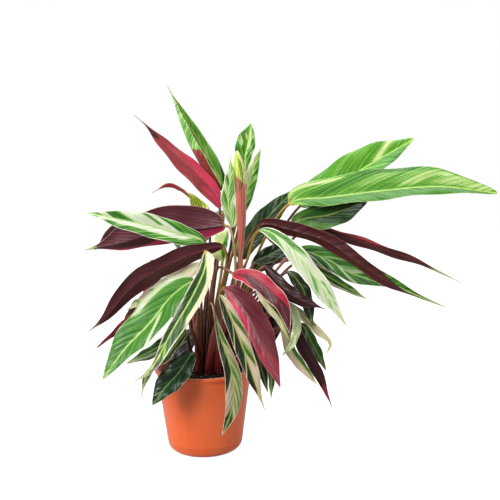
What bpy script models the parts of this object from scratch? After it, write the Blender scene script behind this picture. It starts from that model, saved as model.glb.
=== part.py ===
"""A potted stromanthe: a round plastic pot, its soil, and every leaf with its own stalk.

Sizes are in millimetres here and become metres when a mesh is made. +Z is up, the
origin is the middle of the pot's flat underside, and the viewer stands on the -Y side.
Each leaf is one closed solid, from the foot of its stalk in the soil to the tip of
its blade, and each rolled or flat blade follows a smooth curve through a few points.
"""
import math

import bmesh
import bpy
import numpy as np

MM = 0.001

# Pot
RIM_RADIUS = 75.0
POT_HEIGHT = 126.0
LIP_HEIGHT = 5.0
LIP_WIDTH = 3.0
LIP_ROUNDING = 0.8
FOOT_RADIUS = 57.0
FOOT_ROUNDING = 12.0
WALL = 1.8
FLOOR = 2.5
DRAIN_HOLES = 6
DRAIN_DIAMETER = 9.0
DRAIN_CIRCLE = 30.0
POT_STEPS = 40

# Soil
SOIL_HEIGHT = 117.0
MOUND = 1.3
SOIL_GAP = 0.6
SOIL_STEPS = 20
HOLE_CLEARANCE = 0.4
HOLE_SIDES = 6

# Stalks and blades
STALK_RADIUS = 2.0
STALK_SET_IN = 12.0
STRAIGHT_FOOT = 14.0
LIFT_AT = 0.42
BLADE_THICKNESS = 0.9
MIDRIB_EXTRA = 0.8
WAVES_IN_BLADE = 3.5
WAVE_STEP = 1.7
RIGHT_WAVE_SHIFT = 1.9
BLADE_START = 0.02
TIP_START = 0.7
WIDE_BLADE = 24.5
LONG_BLADE = 140.0

# Where the stalks leave the soil: they spread from a crown below it
CROWN = np.array([10.0, 20.0, 88.0])
ROOT_AREA = np.array([27.0, 36.0])
ROOT_GAP = 2.3
ROOT_PASSES = 500

GREEN = (0.06, 0.24, 0.04)
PALE_GREEN = (0.45, 0.58, 0.30)
DARK_GREEN = (0.02, 0.07, 0.02)
MAROON = (0.09, 0.02, 0.03)
PINK = (0.45, 0.05, 0.12)
SOIL_BROWN = (0.012, 0.008, 0.006)
TERRACOTTA = (0.75, 0.16, 0.05)

LEAVES = []


def leaf(name, blade, halves, face, colour=GREEN, stalk=(), widest=0.42, blunt=0.55, tip=0.35,
         fold=(22, 22), arch=(-30, -30), twist=0.0, wave=2.0, rise=0.26, sheath=None, roll=None):
    """List a leaf.

    blade: points from the neck, where the blade starts, to the tip
    halves: widths of its two halves, left and right of the way to the tip seen from above
    face: the way that the upper side faces near the middle of the blade
    stalk: points of the stalk just before the neck, where it arches over
    widest: how far along the blade is widest; blunt: a low value gives a blunt start
    tip: how much narrower the tip is drawn out
    fold, arch: slope of each half at the midrib, and how much the slope changes to the edge
    twist: degrees of turn over the blade; wave: height of the waves at the edge
    rise: how far sideways the stalk has gone at LIFT_AT of its height
    sheath: radius and height of the leaf sheath around the foot of the stalk
    roll: greatest radius of a blade that is still rolled up, and where along it
    """
    LEAVES.append(dict(name=name, blade=blade, halves=halves, face=face, colour=colour, stalk=list(stalk),
                       widest=widest, blunt=blunt, tip=tip, fold=fold, arch=arch, twist=twist,
                       wave=wave, rise=rise, sheath=sheath, roll=roll, phase=WAVE_STEP * len(LEAVES)))


# Leaves on the left
leaf("top_left", [(32, 44, 390), (15, 46, 432), (-15, 42, 485), (-50, 24, 550)], (48, 12),
     (0.45, -0.85, 0.2), widest=0.3, fold=(5, 25), arch=(165, -20), wave=1.0, tip=0.75, blunt=0.5)
leaf("pink_left", [(27, 12, 365), (17, 8, 390), (-6, 0, 417), (-30, -8, 440), (-54, -16, 464),
                   (-76, -26, 488), (-93, -31, 503)], (16, 16),
     (-0.3, 0.9, -0.3), PINK, widest=0.3, blunt=0.6, fold=(18, 18), sheath=(4.5, 140), tip=0.75)
leaf("small_curl", [(8, 28, 345), (-6, 27, 366), (-30, 20, 391), (-52, 14, 400), (-74, 6, 390)],
     (17, 13), (0, -0.25, 1), widest=0.25, twist=-220, wave=1.0)
leaf("grey_left", [(36, -4, 340), (0, 4, 336), (-65, 2, 330), (-125, 0, 315), (-180, 0, 305)],
     (39, 22), (0.1, 0.95, 0.3), MAROON, [(49, -45, 262), (50, -45, 306), (45, -34, 334)],
     widest=0.36, sheath=(5, 120), tip=0.75)
leaf("cream_left", [(5, -22, 315), (-30, -34, 330), (-75, -46, 345), (-115, -58, 355), (-155, -68, 365)],
     (19, 18), (0, -0.9, 0.45), PALE_GREEN)
leaf("maroon_left", [(35, -42, 310), (-5, -50, 305), (-55, -62, 285), (-95, -74, 260), (-130, -84, 220),
                     (-155, -90, 200)], (17, 20), (-0.2, 0.9, 0.45), MAROON, widest=0.45, tip=0.75)
leaf("green_left", [(-5, -66, 265), (-35, -78, 250), (-65, -94, 215), (-100, -108, 180), (-130, -120, 140)],
     (24, 30), (-0.3, -0.85, 0.45), rise=0.34)
leaf("cream_fold", [(10, -74, 310), (10, -82, 290), (-5, -98, 255), (-35, -116, 205), (-65, -130, 155),
                    (-100, -138, 135)], (17, 10), (-0.2, -0.95, 0.3), PALE_GREEN, [(0, -62, 280)],
     widest=0.3, blunt=0.5, rise=0.22, sheath=(6, 110), tip=0.75)
leaf("thin_left", [(-15, -58, 195), (-45, -86, 165), (-70, -104, 145), (-80, -118, 110)], (8, 6),
     (-0.4, -0.8, 0.4), DARK_GREEN, tip=0.75)
leaf("speckled_low", [(-30, -20, 190), (-65, -40, 165), (-110, -56, 145)], (14, 9), (-0.3, -0.9, 0.4))
leaf("green_pot", [(-10, -76, 165), (-30, -92, 140), (-50, -102, 120), (-65, -108, 100)], (18, 20),
     (-0.3, -0.9, 0.35), DARK_GREEN)
leaf("maroon_low", [(-35, -8, 240), (-75, -22, 225), (-110, -34, 200), (-155, -44, 165)], (8, 8),
     (-0.2, 0.9, 0.4), MAROON)
leaf("speckled_mid", [(5, -32, 285), (-30, -42, 270), (-65, -50, 250), (-105, -60, 225)], (14, 10),
     (-0.2, -0.95, 0.3), PALE_GREEN)

# Upright leaves and those on the right
leaf("crown", [(66, 45, 416), (66, 46, 440), (71, 48, 466), (76, 46, 495)], (19, 13),
     (-0.2, -0.95, 0.2), widest=0.55, blunt=1.0)
leaf("pale_centre", [(47, -13, 338), (41, -18, 378), (45, -18, 415), (45, -14, 445)], (11, 12),
     (-0.3, -0.95, 0.2), PALE_GREEN, widest=0.38)
leaf("cream_centre", [(60, 32, 355), (70, 34, 395), (80, 34, 430), (90, 32, 455)], (10, 11),
     (0.2, -0.9, 0.2), PALE_GREEN)
leaf("dusky", [(56, 17, 287), (86, 24, 334), (140, 31, 391)], (18, 20), (-0.3, -0.9, 0.3), DARK_GREEN,
     blunt=0.4)
leaf("broad_right", [(150, 50, 365), (200, 58, 390), (255, 66, 425), (300, 74, 450), (335, 80, 470)],
     (36, 26), (-0.2, -0.85, 0.5), widest=0.42, blunt=0.45)
leaf("long_right", [(130, 4, 370), (190, 2, 380), (275, -6, 390), (350, -18, 395), (430, -34, 385)],
     (37, 19), (0, -0.8, 0.62), blunt=0.4, sheath=(5, 120))
leaf("under_right", [(135, 0, 340), (195, 4, 355), (250, 10, 375)], (18, 26), (0.1, -0.8, 0.6),
     DARK_GREEN, blunt=0.45)
leaf("maroon_right", [(85, -16, 340), (130, -24, 335), (180, -36, 320), (225, -48, 290), (270, -56, 260),
                      (350, -68, 225)], (14, 13), (0.1, 0.8, 0.6), MAROON, widest=0.3, tip=0.75, blunt=0.25)
leaf("maroon_back", [(155, 20, 330), (215, 16, 320), (275, 10, 300), (330, 4, 280), (390, -2, 250)],
     (11, 8), (0, 0.85, 0.55), MAROON, widest=0.32, tip=0.75)
leaf("white_arch", [(85, -42, 335), (115, -58, 325), (140, -76, 300), (170, -92, 260), (205, -110, 205)],
     (13, 18), (0.3, -0.85, 0.4), PALE_GREEN, [(67, -34, 290)], widest=0.5, tip=0.75)
leaf("speckled_right", [(140, -16, 300), (185, -20, 290), (220, -26, 270), (280, -32, 250)], (17, 16),
     (0.1, -0.9, 0.4))
leaf("low_right", [(145, -4, 285), (175, -10, 270), (210, -16, 250), (245, -22, 230)], (8, 10),
     (0.1, -0.9, 0.4))
leaf("black_green", [(125, -42, 275), (145, -54, 255), (155, -62, 225), (160, -68, 200)], (10, 12),
     (0.3, -0.9, 0.3), DARK_GREEN, [(110, -36, 260)])
leaf("maroon_diag", [(90, -62, 285), (110, -76, 265), (135, -86, 245), (175, -96, 230)], (13, 11),
     (0.2, 0.9, 0.3), MAROON, tip=0.75)

# Leaves that hang in front
leaf("pink_front", [(47, -78, 279), (70, -92, 277), (97, -108, 259), (115, -118, 238), (124, -126, 203)],
     (13, 17), (-0.4, 0.85, -0.2), PINK, [(21, -58, 270), (27, -62, 286), (37, -71, 284)],
     widest=0.35, rise=0.3, blunt=0.4)
leaf("magenta_front", [(35, -86, 260), (55, -104, 245), (75, -120, 215), (90, -134, 180),
                       (110, -144, 135)], (12, 26), (-0.35, 0.9, -0.2), PINK, blunt=0.5,
     sheath=(4.5, 150))
leaf("white_hang", [(29, -84, 249), (46, -98, 216), (62, -108, 175), (76, -114, 135), (90, -118, 95)],
     (13, 12), (0.2, -0.9, 0.3), PALE_GREEN, tip=0.75, sheath=(4.5, 110), stalk=[(27, -70, 228)])
leaf("pot_hang", [(15, -55, 233), (29, -78, 188), (45, -90, 137), (45, -94, 95), (30, -92, 50)],
     (13, 12), (0.2, -0.9, 0.1), PALE_GREEN, widest=0.64, blunt=1.5)
leaf("black_hang", [(65, -56, 205), (80, -76, 165), (95, -88, 110)], (10, 9), (0.2, -0.9, 0.2),
     DARK_GREEN)
leaf("green_tip", [(90, -52, 175), (100, -66, 135), (100, -70, 95)], (6, 6), (0.2, -0.9, 0.2))
leaf("cream_hook", [(80, -58, 250), (95, -72, 235), (115, -82, 210), (125, -88, 185)], (12, 8),
     (0.3, -0.9, 0.3), PALE_GREEN, [(65, -48, 235)])
leaf("cream_low", [(120, -46, 230), (145, -56, 215), (165, -62, 195), (185, -66, 175), (180, -68, 160)],
     (6, 7), (0.2, -0.9, 0.3), PALE_GREEN)
leaf("pale_pendent", [(125, -78, 235), (135, -88, 215), (130, -94, 185), (115, -96, 165)], (7, 6),
     (0.2, -0.9, 0.2), PALE_GREEN)
leaf("maroon_pendent", [(130, -24, 195), (150, -38, 160), (170, -46, 125), (190, -52, 75)], (11, 9),
     (0.2, 0.95, 0.2), MAROON, widest=0.35, tip=0.75)
leaf("green_sliver", [(145, -2, 190), (165, -10, 160), (185, -14, 120)], (9, 9), (0.2, -0.9, 0.3))
leaf("pink_pendent", [(115, -60, 195), (130, -74, 165), (145, -80, 145), (165, -84, 120)], (7, 10),
     (0.2, -0.9, 0.3), PINK)
leaf("yellow_centre", [(31, -20, 288), (29, -21, 304), (33, -21, 320), (40, -20, 335)], (15, 9),
     (-0.2, -0.9, 0.2), widest=0.5)
leaf("dark_centre", [(78, -2, 283), (103, -4, 297), (138, -8, 318)], (12, 12), (0.1, -0.9, 0.3),
     DARK_GREEN)
leaf("black_low", [(-12, 22, 166), (-42, 26, 150), (-80, 26, 136)], (20, 22), (-0.2, -0.9, 0.4),
     DARK_GREEN)

# Leaves at the back, which the front view hides
leaf("back_left", [(-38, 70, 292), (-112, 112, 340), (-195, 150, 290)], (24, 27), (0, 0.4, 0.9),
     sheath=(5, 100))
leaf("back_left_mid", [(-35, 85, 250), (-75, 150, 262), (-125, 225, 200)], (24, 22), (0, 0.5, 0.9))
leaf("back_high", [(0, 70, 310), (4, 130, 350), (8, 215, 320)], (27, 24), (0, 0.3, 0.95))
leaf("back_right", [(45, 70, 290), (90, 120, 325), (150, 190, 270)], (24, 26), (0, 0.4, 0.9))
leaf("back_right_mid", [(75, 60, 250), (145, 95, 275), (230, 135, 220)], (22, 25), (0, 0.4, 0.9))
leaf("back_left_low", [(-50, 55, 195), (-95, 95, 205), (-150, 145, 135)], (22, 20), (0, 0.5, 0.9))
leaf("back_low", [(22, 75, 210), (50, 125, 215), (80, 190, 140)], (23, 21), (0, 0.5, 0.9))
leaf("back_right_low", [(60, 60, 190), (105, 90, 200), (155, 132, 120)], (20, 22), (0, 0.5, 0.9))
leaf("back_low_left", [(-26, 70, 205), (-38, 118, 212), (-55, 180, 130)], (22, 24), (0, 0.5, 0.9))

# In the shade behind the stalks
leaf("shade_left", [(-3, 66, 198), (-8, 84, 188), (-8, 96, 162), (-8, 98, 118)], (24, 24),
     (0, 0.95, 0.2), MAROON, blunt=0.35)
leaf("shade_middle", [(46, 66, 200), (45, 84, 190), (46, 95, 160), (47, 96, 116)], (24, 24),
     (0, 0.95, 0.2), MAROON, blunt=0.35)
leaf("shade_right", [(98, 24, 222), (103, 40, 218), (108, 49, 198), (110, 51, 150)], (20, 20),
     (0, 0.95, 0.2), DARK_GREEN)
leaf("shade_high", [(76, 52, 262), (103, 60, 285), (144, 72, 300)], (17, 17), (0, -0.9, 0.4),
     DARK_GREEN, rise=0.14)

# The youngest leaf, still rolled up
leaf("rolled", [(58, -38, 300), (60, -41, 340), (60, -42, 385), (58, -40, 420), (55, -34, 450)], (12, 12),
     (-0.5, -0.85, 0), MAROON, [(57, -38, 268)], wave=0.0, sheath=(4.4, 300), roll=(8.4, 0.7))


def clear_scene():
    """Remove what the start-up file holds."""
    for old in list(bpy.data.objects):
        bpy.data.objects.remove(old, do_unlink=True)


def principled(name, colour, roughness):
    """Make a Principled material in one colour."""
    material = bpy.data.materials.new(name)
    material.use_nodes = True
    shader = material.node_tree.nodes["Principled BSDF"]
    shader.inputs["Base Color"].default_value = (*colour, 1.0)
    shader.inputs["Roughness"].default_value = roughness
    shader.inputs["Metallic"].default_value = 0.0
    return material


def add_object(name, mesh, colour, roughness):
    """Put a mesh in the scene under a name, shaded smooth, with a material of its own."""
    body = bpy.data.objects.new(name, mesh)
    bpy.context.scene.collection.objects.link(body)
    mesh.materials.append(principled(name, colour, roughness))
    mesh.shade_smooth()
    mesh.set_sharp_from_angle(angle=math.radians(40))
    return body


def turned(name, profile, steps):
    """Spin (radius, height) points, which start and end on the axis, into a closed mesh."""
    shape = bmesh.new()
    points = [shape.verts.new((radius * MM, 0, height * MM)) for radius, height in profile]
    edges = [shape.edges.new(pair) for pair in zip(points[:-1], points[1:])]
    bmesh.ops.spin(shape, geom=points + edges, cent=(0, 0, 0), axis=(0, 0, 1),
                   angle=2 * math.pi, steps=steps, use_duplicate=False, use_merge=True)
    bmesh.ops.remove_doubles(shape, verts=shape.verts, dist=0.01 * MM)
    bmesh.ops.recalc_face_normals(shape, faces=shape.faces)
    mesh = bpy.data.meshes.new(name)
    shape.to_mesh(mesh)
    shape.free()
    return mesh


def cut(body, name, cylinders, sides):
    """Cut upright cylinders, given as (x, y, radius, bottom, top), out of a body with one Boolean."""
    shape = bmesh.new()
    for x, y, radius, bottom, top in cylinders:
        made = bmesh.ops.create_cone(shape, cap_ends=True, segments=sides, radius1=radius * MM,
                                     radius2=radius * MM, depth=(top - bottom) * MM)
        bmesh.ops.translate(shape, verts=made["verts"], vec=(x * MM, y * MM, (top + bottom) / 2 * MM))
    mesh = bpy.data.meshes.new(name)
    shape.to_mesh(mesh)
    shape.free()
    cutter = bpy.data.objects.new(name, mesh)
    bpy.context.scene.collection.objects.link(cutter)
    cutter.hide_render = True
    cutter.display_type = "WIRE"
    modifier = body.modifiers.new(name, "BOOLEAN")
    modifier.operation = "DIFFERENCE"
    modifier.solver = "EXACT"
    modifier.object = cutter


def wall_outline():
    """Outside of the pot up to its lip: an arc around the foot, then a straight taper."""
    slope = math.atan2(RIM_RADIUS - LIP_WIDTH - FOOT_RADIUS, POT_HEIGHT - LIP_HEIGHT - FOOT_ROUNDING)
    height = FOOT_ROUNDING * (1 - math.sin(slope))
    top = RIM_RADIUS - LIP_WIDTH
    touch = top - (POT_HEIGHT - LIP_HEIGHT - height) * math.tan(slope)
    middle = touch - FOOT_ROUNDING * math.cos(slope)
    arc = []
    for step in range(5):
        turn = math.radians(-90) + (math.radians(90) - slope) * step / 4
        arc.append((middle + FOOT_ROUNDING * math.cos(turn), FOOT_ROUNDING * (1 + math.sin(turn))))
    return arc + [(top, POT_HEIGHT - LIP_HEIGHT)]


def make_pot():
    """The pot: a thin tapered wall with a rounded foot, a plain lip and drain holes around the middle."""
    outside = wall_outline()
    lip = [(RIM_RADIUS - LIP_ROUNDING / 2, POT_HEIGHT - LIP_HEIGHT),
           (RIM_RADIUS, POT_HEIGHT - LIP_HEIGHT + LIP_ROUNDING),
           (RIM_RADIUS, POT_HEIGHT - LIP_ROUNDING),
           (RIM_RADIUS - LIP_ROUNDING, POT_HEIGHT),
           (RIM_RADIUS - LIP_WIDTH, POT_HEIGHT),
           (RIM_RADIUS - LIP_WIDTH - WALL, POT_HEIGHT - LIP_ROUNDING)]
    inside = [(outside[4][0] - WALL, outside[4][1]),
              (outside[2][0] - WALL, outside[2][1] + WALL / 2),
              (outside[0][0] - WALL, FLOOR)]
    profile = [(0, 0)] + outside + lip + inside + [(0, FLOOR)]
    pot = add_object("pot", turned("pot", profile, POT_STEPS), TERRACOTTA, 0.42)
    drains = []
    for step in range(DRAIN_HOLES):
        turn = 2 * math.pi * (step + 0.5) / DRAIN_HOLES
        drains.append((DRAIN_CIRCLE * math.cos(turn), DRAIN_CIRCLE * math.sin(turn),
                       DRAIN_DIAMETER / 2, -1.0, FLOOR + 1.0))
    cut(pot, "drain_cutter", drains, 12)


def inner_radius(height):
    """Radius of the pot's inside at a height above the foot's arc."""
    low, high = wall_outline()[-2:]
    return np.interp(height, [low[1], POT_HEIGHT - LIP_ROUNDING], [low[0], high[0]]) - WALL


def make_soil(roots):
    """The soil: it fills the pot to a low mound, with a plain round hole for each stalk."""
    edge = SOIL_HEIGHT - 2 * MOUND
    foot = FOOT_ROUNDING + FLOOR
    profile = [(0, FLOOR + SOIL_GAP),
               (inner_radius(foot) - FOOT_ROUNDING, FLOOR + SOIL_GAP),
               (inner_radius(foot) - SOIL_GAP - 1, foot),
               (inner_radius(edge) - SOIL_GAP, edge),
               (0.8 * inner_radius(edge), SOIL_HEIGHT - MOUND / 2),
               (0.4 * inner_radius(edge), SOIL_HEIGHT + MOUND / 2),
               (0, SOIL_HEIGHT + MOUND)]
    soil = add_object("soil", turned("soil", profile, SOIL_STEPS), SOIL_BROWN, 0.95)
    holes = []
    for plan, (x, y) in zip(LEAVES, roots):
        radius = (stalk_size(plan) + HOLE_CLEARANCE) / math.cos(math.pi / HOLE_SIDES)
        holes.append((x, y, radius, SOIL_HEIGHT - STALK_SET_IN - HOLE_CLEARANCE, SOIL_HEIGHT + 10))
    cut(soil, "stalk_holes", holes, HOLE_SIDES)


def stalk_size(plan):
    """Radius at the soil: the stalk's, or the sheath's where it has one."""
    return plan["sheath"][0] if plan["sheath"] else STALK_RADIUS


def spread_roots():
    """Place each stalk's foot on the line from the crown to its first point, then push them apart."""
    first = np.array([(plan["stalk"] + plan["blade"])[0] for plan in LEAVES], float)
    share = (SOIL_HEIGHT - CROWN[2]) / (first[:, 2] - CROWN[2])
    places = (first[:, :2] - CROWN[:2]) * share[:, None]
    size = np.array([stalk_size(plan) for plan in LEAVES])
    need = size[:, None] + size[None] + ROOT_GAP
    for _ in range(ROOT_PASSES):
        far = np.linalg.norm(places / ROOT_AREA, axis=1)
        places = places / np.maximum(far, 1)[:, None]
        apart = places[:, None] - places[None]
        distance = np.linalg.norm(apart, axis=2) + np.eye(len(places)) * 99
        push = np.clip(need - distance, 0, None)
        places = places + 0.35 * (apart / distance[..., None] * push[..., None]).sum(1)
    return places + CROWN[:2]


def smooth_path(points):
    """Centripetal Catmull-Rom curve through points: its places, lengths, and the points' lengths."""
    points = np.asarray(points, float)
    points = np.vstack([2 * points[0] - points[1], points, 2 * points[-1] - points[-2]])
    spans = np.linalg.norm(np.diff(points, axis=0), axis=1)
    knots = np.concatenate([[0], np.cumsum(np.sqrt(spans))])
    pieces = []
    for i in range(1, len(points) - 2):
        k = knots[i - 1:i + 3]
        p = points[i - 1:i + 3]
        t = np.linspace(k[1], k[2], 40, endpoint=False)[:, None]
        a = [((k[j + 1] - t) * p[j] + (t - k[j]) * p[j + 1]) / (k[j + 1] - k[j]) for j in range(3)]
        b = [((k[j + 2] - t) * a[j] + (t - k[j]) * a[j + 1]) / (k[j + 2] - k[j]) for j in range(2)]
        pieces.append(((k[2] - t) * b[0] + (t - k[1]) * b[1]) / (k[2] - k[1]))
    pieces.append(points[-2][None])
    places = np.vstack(pieces)
    lengths = np.concatenate([[0], np.cumsum(np.linalg.norm(np.diff(places, axis=0), axis=1))])
    return places, lengths, lengths[::40]


def directions(places, face, middle):
    """Along, across and upper directions, with the upper one carried from the middle both ways."""
    along = np.gradient(places, axis=0)
    along /= np.linalg.norm(along, axis=1)[:, None]
    upper = np.zeros_like(along)
    for order in (range(middle, len(along)), range(middle, -1, -1)):
        carried = np.array(face, float)
        for i in order:
            carried = carried - along[i] * (carried @ along[i])
            carried /= np.linalg.norm(carried)
            upper[i] = carried
    return along, np.cross(along, upper), upper


def ease(x):
    """Smooth step from 0 to 1 over the same range of x."""
    x = np.clip(x, 0, 1)
    return x * x * (3 - 2 * x)


def width_share(t, plan):
    """Share of the greatest width at t: t^a (1-t)^b, which peaks at widest, then a thin tip."""
    widest, blunt = plan["widest"], plan["blunt"]
    sharp = blunt * (1 - widest) / widest
    peak = widest ** blunt * (1 - widest) ** sharp
    thin = 1 - plan["tip"] * ease((t - TIP_START) / (1 - TIP_START))
    return t ** blunt * (1 - t) ** sharp / peak * thin


def half_section(u, fold, arch):
    """Way out and up at u, from midrib 0 to edge 1, of a half whose slope is fold + arch u^2 degrees."""
    steps = np.linspace(0, 1, 61)
    slope = np.radians(fold + arch * steps ** 2)
    out = np.concatenate([[0], np.cumsum((np.cos(slope)[1:] + np.cos(slope)[:-1]) / 120)])
    up = np.concatenate([[0], np.cumsum((np.sin(slope)[1:] + np.sin(slope)[:-1]) / 120)])
    return np.interp(u, steps, out), np.interp(u, steps, up)


def normals_across(side, height):
    """Unit normals of each ring's section, from the way it runs between a point's neighbours."""
    run, rise = np.gradient(side, axis=1), np.gradient(height, axis=1)
    length = np.hypot(run, rise)
    return -rise / length, run / length


def ring_lengths(plan, neck, total):
    """Lengths along the path where the solid has a ring: few on the stalk, more on the blade."""
    if plan["sheath"]:
        high = plan["sheath"][1]
        stalk = [0, STRAIGHT_FOOT, 0.45 * high, 0.8 * high, high, (high + neck) / 2]
    else:
        stalk = [0, STRAIGHT_FOOT, (2 * STRAIGHT_FOOT + neck) / 3, (STRAIGHT_FOOT + 2 * neck) / 3]
    steps = 8 if total - neck < LONG_BLADE else 10
    blade = np.concatenate([[0, 0.03], np.linspace(0.1, 1, steps)[:-1], [0.985]])
    return np.concatenate([stalk, neck + (total - neck) * blade])


def stalk_radii(plan, at, t):
    """Radius of the round part at each ring: a sheath tapers into the stalk, a rolled blade swells."""
    radius = np.full(len(at), STALK_RADIUS)
    if plan["sheath"]:
        wide, high = plan["sheath"]
        fade = 1 - ease((at - 0.8 * high) / (0.2 * high))
        radius = STALK_RADIUS + (wide - STALK_RADIUS) * fade * (1 - 0.25 * np.clip(at / high, 0, 1))
    if plan["roll"]:
        most, peak = plan["roll"]
        swell = (most - radius) * np.sin(math.pi / 2 * np.clip(t / peak, 0, 1)) ** 1.2
        narrow = (most - 1.2) * (np.clip(t - peak, 0, 1) / (1 - peak)) ** 3
        radius = radius + swell - narrow
    return radius


def leaf_solid(plan, root):
    """Rings of upper and lower points from foot to tip, and the triangles that close them."""
    foot = np.array([root[0], root[1], SOIL_HEIGHT - STALK_SET_IN])
    first = np.array((plan["stalk"] + plan["blade"])[0], float)
    lift = foot + (first - foot) * [plan["rise"], plan["rise"], LIFT_AT]
    points = [foot, foot + [0, 0, STRAIGHT_FOOT], lift] + plan["stalk"] + plan["blade"]
    places, lengths, marks = smooth_path(points)
    neck = marks[3 + len(plan["stalk"])]
    total = lengths[-1]
    at = ring_lengths(plan, neck, total)
    centre = np.stack([np.interp(at, lengths, places[:, k]) for k in range(3)], 1)
    t = np.clip((at - neck) / (total - neck), 0, 1)
    middle = int(np.argmin(abs(t - 0.45)))
    along, across, upper = directions(centre, plan["face"], middle)
    turn = np.radians(plan["twist"]) * (t - 0.45)[:, None]
    across, upper = (across * np.cos(turn) + upper * np.sin(turn),
                     upper * np.cos(turn) - across * np.sin(turn))

    strips = 4 if sum(plan["halves"]) >= WIDE_BLADE else 2
    u = np.linspace(-1, 1, strips + 1)
    share = width_share(np.clip(t, 1e-6, 1 - 1e-6), plan)[:, None]
    side = np.zeros((len(at), len(u)))
    height = np.zeros_like(side)
    for j, place in enumerate(u):
        half = 0 if place < 0 else 1
        out, up = half_section(abs(place), plan["fold"][half], plan["arch"][half])
        side[:, j] = np.sign(place) * out * plan["halves"][half] * share[:, 0]
        height[:, j] = up * plan["halves"][half] * share[:, 0]
    swing = 2 * math.pi * WAVES_IN_BLADE * t[:, None] + plan["phase"] + RIGHT_WAVE_SHIFT * (u >= 0)
    height += plan["wave"] * np.sqrt(np.sin(math.pi * t))[:, None] * u ** 2 * np.sin(swing)
    thick = BLADE_THICKNESS / 2 + MIDRIB_EXTRA * (1 - t[:, None]) * (u == 0)
    out, up = normals_across(side, height)

    around = math.pi * (1 - (np.arange(strips + 1) + 0.5) / (strips + 1))
    radius = stalk_radii(plan, at, t)[:, None]
    flat = 0 if plan["roll"] else np.clip(t / BLADE_START, 0, 1)[:, None]
    rings = []
    for sign in (1, -1):
        sideways = radius * np.cos(around) * (1 - flat) + (side + sign * thick * out) * flat
        rise = sign * radius * np.sin(around) * (1 - flat) + (height + sign * thick * up) * flat
        ring = centre[:, None] + sideways[..., None] * across[:, None] + rise[..., None] * upper[:, None]
        rings.append(ring.reshape(-1, 3))
    return np.concatenate(rings), closed_faces(*side.shape)


def closed_faces(rings, columns):
    """Triangles of a closed strip: upper and lower sides split alike, then both edges and both ends."""
    index = np.arange(rings * columns).reshape(rings, columns)
    lower = rings * columns
    a, b = index[:-1, :-1].ravel(), index[:-1, 1:].ravel()
    c, d = index[1:, 1:].ravel(), index[1:, :-1].ravel()
    faces = [np.stack([a, b, c], 1), np.stack([a, c, d], 1),
             np.stack([a, c, b], 1) + lower, np.stack([a, d, c], 1) + lower]
    borders = [index[:, 0], index[::-1, -1], index[0, ::-1], index[-1]]
    for border in borders:
        e, f = border[:-1], border[1:]
        faces += [np.stack([e, f, f + lower], 1), np.stack([e, f + lower, e + lower], 1)]
    return np.concatenate(faces)


def make_leaf(plan, root):
    """One leaf as one object, its faces turned to point out."""
    places, faces = leaf_solid(plan, root)
    mesh = bpy.data.meshes.new(plan["name"])
    mesh.from_pydata(places * MM, [], faces.tolist())
    shape = bmesh.new()
    shape.from_mesh(mesh)
    bmesh.ops.recalc_face_normals(shape, faces=shape.faces)
    shape.to_mesh(mesh)
    shape.free()
    add_object("leaf_" + plan["name"], mesh, plan["colour"], 0.4)


clear_scene()
make_pot()
root_places = spread_roots()
make_soil(root_places)
for leaf_plan, root_place in zip(LEAVES, root_places):
    make_leaf(leaf_plan, root_place)
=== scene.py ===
"""Looks for the potted stromanthe: the plastic pot, its soil and every leaf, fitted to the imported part.

Leaf sizes are in millimetres, as in the part's own source, and become metres when a mesh is made.
"""

import math

import bmesh
import bpy
import numpy as np
from mathutils import Matrix


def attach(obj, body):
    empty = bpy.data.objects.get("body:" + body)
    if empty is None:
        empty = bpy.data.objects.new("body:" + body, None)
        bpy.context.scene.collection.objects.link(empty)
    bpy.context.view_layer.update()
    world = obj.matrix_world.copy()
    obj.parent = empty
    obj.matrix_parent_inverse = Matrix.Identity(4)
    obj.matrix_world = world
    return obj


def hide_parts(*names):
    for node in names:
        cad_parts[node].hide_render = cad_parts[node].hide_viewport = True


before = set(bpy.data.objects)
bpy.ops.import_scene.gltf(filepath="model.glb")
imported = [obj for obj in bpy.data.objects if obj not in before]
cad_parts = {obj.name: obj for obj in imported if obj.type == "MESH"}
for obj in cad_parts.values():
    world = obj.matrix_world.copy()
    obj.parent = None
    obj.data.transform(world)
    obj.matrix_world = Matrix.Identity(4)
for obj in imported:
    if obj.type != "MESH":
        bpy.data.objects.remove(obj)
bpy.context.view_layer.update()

# Camera. The photograph looks slightly down at the plant from about a metre away, level with
# the upper leaves, through a slightly long lens. It is rolled by about half a degree.
LENS = 50.4
SENSOR_WIDTH = 36.0
CAMERA_PLACE = (0.072, -1.046, 0.413)
LOOK_DOWN = 6.0
ROLL = -0.6
lens = bpy.data.cameras.new("camera")
lens.lens = LENS
lens.sensor_width = SENSOR_WIDTH
camera = bpy.data.objects.new("camera", lens)
camera.matrix_world = (Matrix.Translation(CAMERA_PLACE)
                       @ Matrix.Rotation(math.radians(90 - LOOK_DOWN), 4, "X")
                       @ Matrix.Rotation(math.radians(ROLL), 4, "Z"))
bpy.context.scene.collection.objects.link(camera)
bpy.context.scene.camera = camera
bpy.context.scene.view_settings.view_transform = "Standard"


# Studio. A white paper surface and white surroundings. The main soft light is on the left in
# front and gives the pot and the leaves their light and dark sides; a wide one hangs above,
# and two weak ones behind the pot at its left and right brighten its edges.
FLOOR_HALF = 4.0
FLOOR_DROP = 0.0002
PAPER_GLOW = 0.95
ROOM_LIGHT = 0.16
SHEEN_SHARE = 0.4


def linear(code):
    """Linear RGB of an sRGB hex colour: the lower part is divided, the rest is a 2.4 power."""
    values = [int(code[k:k + 2], 16) / 255 for k in (1, 3, 5)]
    return [v / 12.92 if v <= 0.04045 else ((v + 0.055) / 1.055) ** 2.4 for v in values]


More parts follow.
